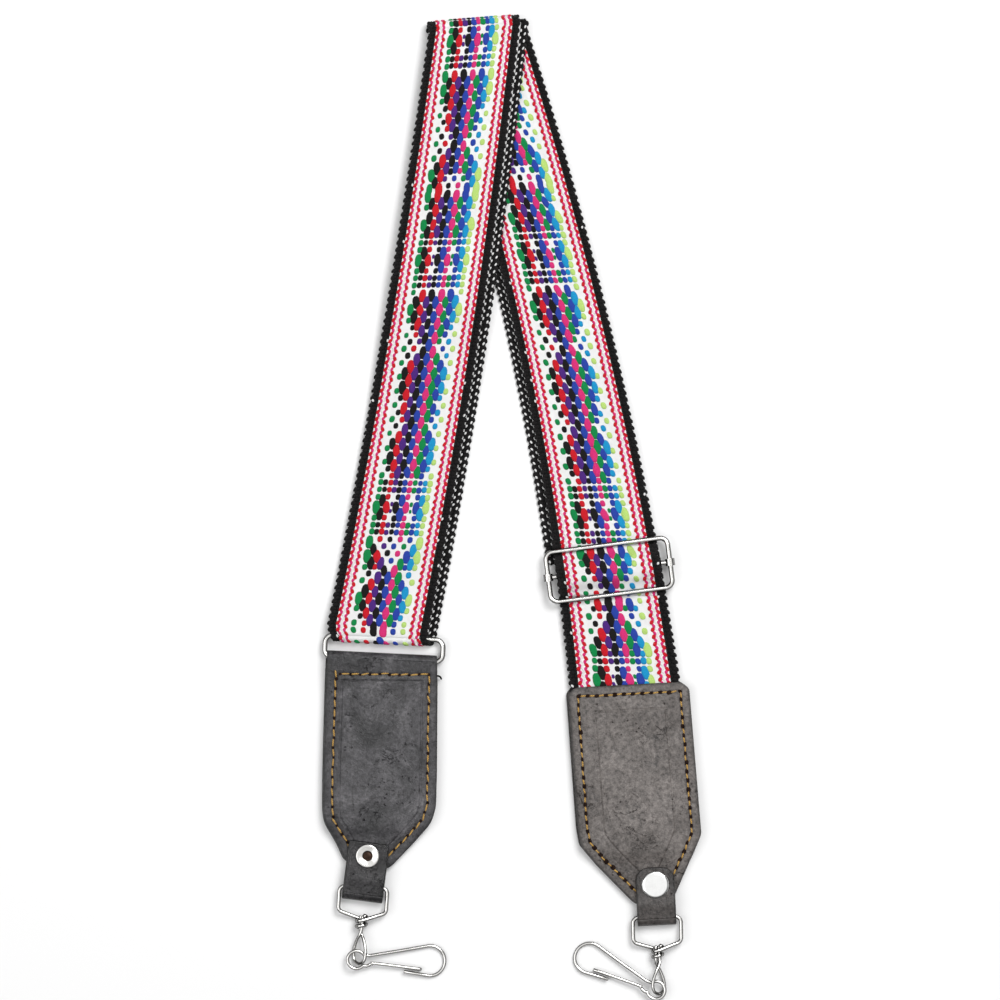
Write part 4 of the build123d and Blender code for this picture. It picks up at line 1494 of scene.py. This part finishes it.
def slider_seam():
    """Where the ends of the slider frame's wire meet, at the middle of its lower side."""
    x, y = in_frame(SLIDER_AT, SLIDER_TILT, 0.6, -11.35)
    turn = turn_about("z", SLIDER_TILT)

    def placed(points):
        return points @ turn.T + np.array([float(x), float(y), 5.4])

    points, faces = tube(placed(np.array([(-0.09, 0, 0), (0.0, 0, 0), (0.09, 0, 0)])), 1.17)
    seam = make_object("slider_seam", points, faces, [BROWNED])
    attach(seam, "slider")


# ---- CAD nodes that are shown as they are ----------------------------------------------------

SMOOTH_ANGLE = math.radians(40.0)    # sharper edges stay sharp


def paint(node, mat):
    """Gives a CAD node its material and smooth shading."""
    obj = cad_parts[node]
    obj.data.materials.clear()
    obj.data.materials.append(mat)
    bpy.context.view_layer.objects.active = obj
    for other in bpy.context.selected_objects:
        other.select_set(False)
    obj.select_set(True)
    bpy.ops.object.shade_smooth_by_angle(angle=SMOOTH_ANGLE)


def hardware():
    metal = ["slider_frame", "slider_bar", "oval_ring"]
    for side in ("left", "right"):
        metal += [f"{side}_snap_stud", f"{side}_snap_post", f"{side}_snap_socket"]
        paint(f"{side}_tab_stiffener", BOARD)
    for node in metal:
        paint(node, NICKEL)
    paint("bar_loop_band", EDGE_CLOTH)


# ---- Studio --------------------------------------------------------------------------

CAMERA_AT = (-5.9, 2.7, 2273.0)      # mm
CAMERA_LENS = 180.0
FLOOR_SIDE = 4.0                     # m, half the floor's width
FLOOR_GAP = 0.0002                   # m between the strap and the floor
LAMPS = {                            # place in m, size in m, power in W
    "key": ((0.50, 0.60, 1.25), 0.80, 17.0), "fill": ((-0.9, -0.3, 1.1), 1.0, 5.0),
}


def studio_floor():
    mesh = bpy.data.meshes.new("studio_floor")
    side, depth = FLOOR_SIDE, cad_box[0][2] - FLOOR_GAP
    corners = [(-side, -side, depth), (side, -side, depth), (side, side, depth),
               (-side, side, depth)]
    mesh.from_pydata(corners, [], [(0, 1, 2, 3)])
    mat, tree, shader = new_material("studio_white")
    feed(tree, shader, {"Base Color": (0.86, 0.86, 0.86, 1.0), "Roughness": 0.9,
                        "Specular IOR Level": 0.1})
    mesh.materials.append(mat)
    floor = bpy.data.objects.new("studio_floor", mesh)
    bpy.context.scene.collection.objects.link(floor)


def sky():
    """A white ceiling that darkens towards the horizon, for the metal to mirror."""
    world = bpy.data.worlds.new("studio_world")
    world.use_nodes = True
    tree = world.node_tree
    height = add(tree, "ShaderNodeSeparateXYZ", {0: object_space(tree, "Generated")})
    shades = ramp(tree, height.outputs["Z"], (0.0, 0.02), (0.45, 0.04), (0.72, 0.45),
                  (0.88, 1.0), (1.0, 1.0))
    feed(tree, tree.nodes["Background"], {"Color": shades, "Strength": 1.0})
    bpy.context.scene.world = world


def studio():
    scene = bpy.context.scene
    studio_floor()
    sky()
    for name, (at, size, power) in LAMPS.items():
        light = bpy.data.lights.new(name, "AREA")
        light.shape = "SQUARE"
        light.size = size
        light.energy = power
        lamp = bpy.data.objects.new(name, light)
        lamp.location = at
        lamp.rotation_euler = (-Vector(at)).to_track_quat("-Z", "Y").to_euler()
        scene.collection.objects.link(lamp)
    view = bpy.data.cameras.new("camera")
    view.lens = CAMERA_LENS
    view.sensor_width = 36.0
    view.clip_start, view.clip_end = 0.05, 20.0
    camera = bpy.data.objects.new("camera", view)
    camera.location = tuple(v * MM for v in CAMERA_AT)
    scene.collection.objects.link(camera)
    scene.camera = camera
    scene.view_settings.view_transform = "Standard"
    scene.view_settings.look = "None"


# ---- Everything ----------------------------------------------------------------------

upper_run, run_length = right_runs()
arm_length = left_runs()
fold_bends()
ring_turn(arm_length)
slider_arch(upper_run, run_length)
right_tab()
left_tab()
for hook_side in ("left", "right"):
    hook_chain(hook_side)
snap_caps()
slider_seam()
hardware()
studio()
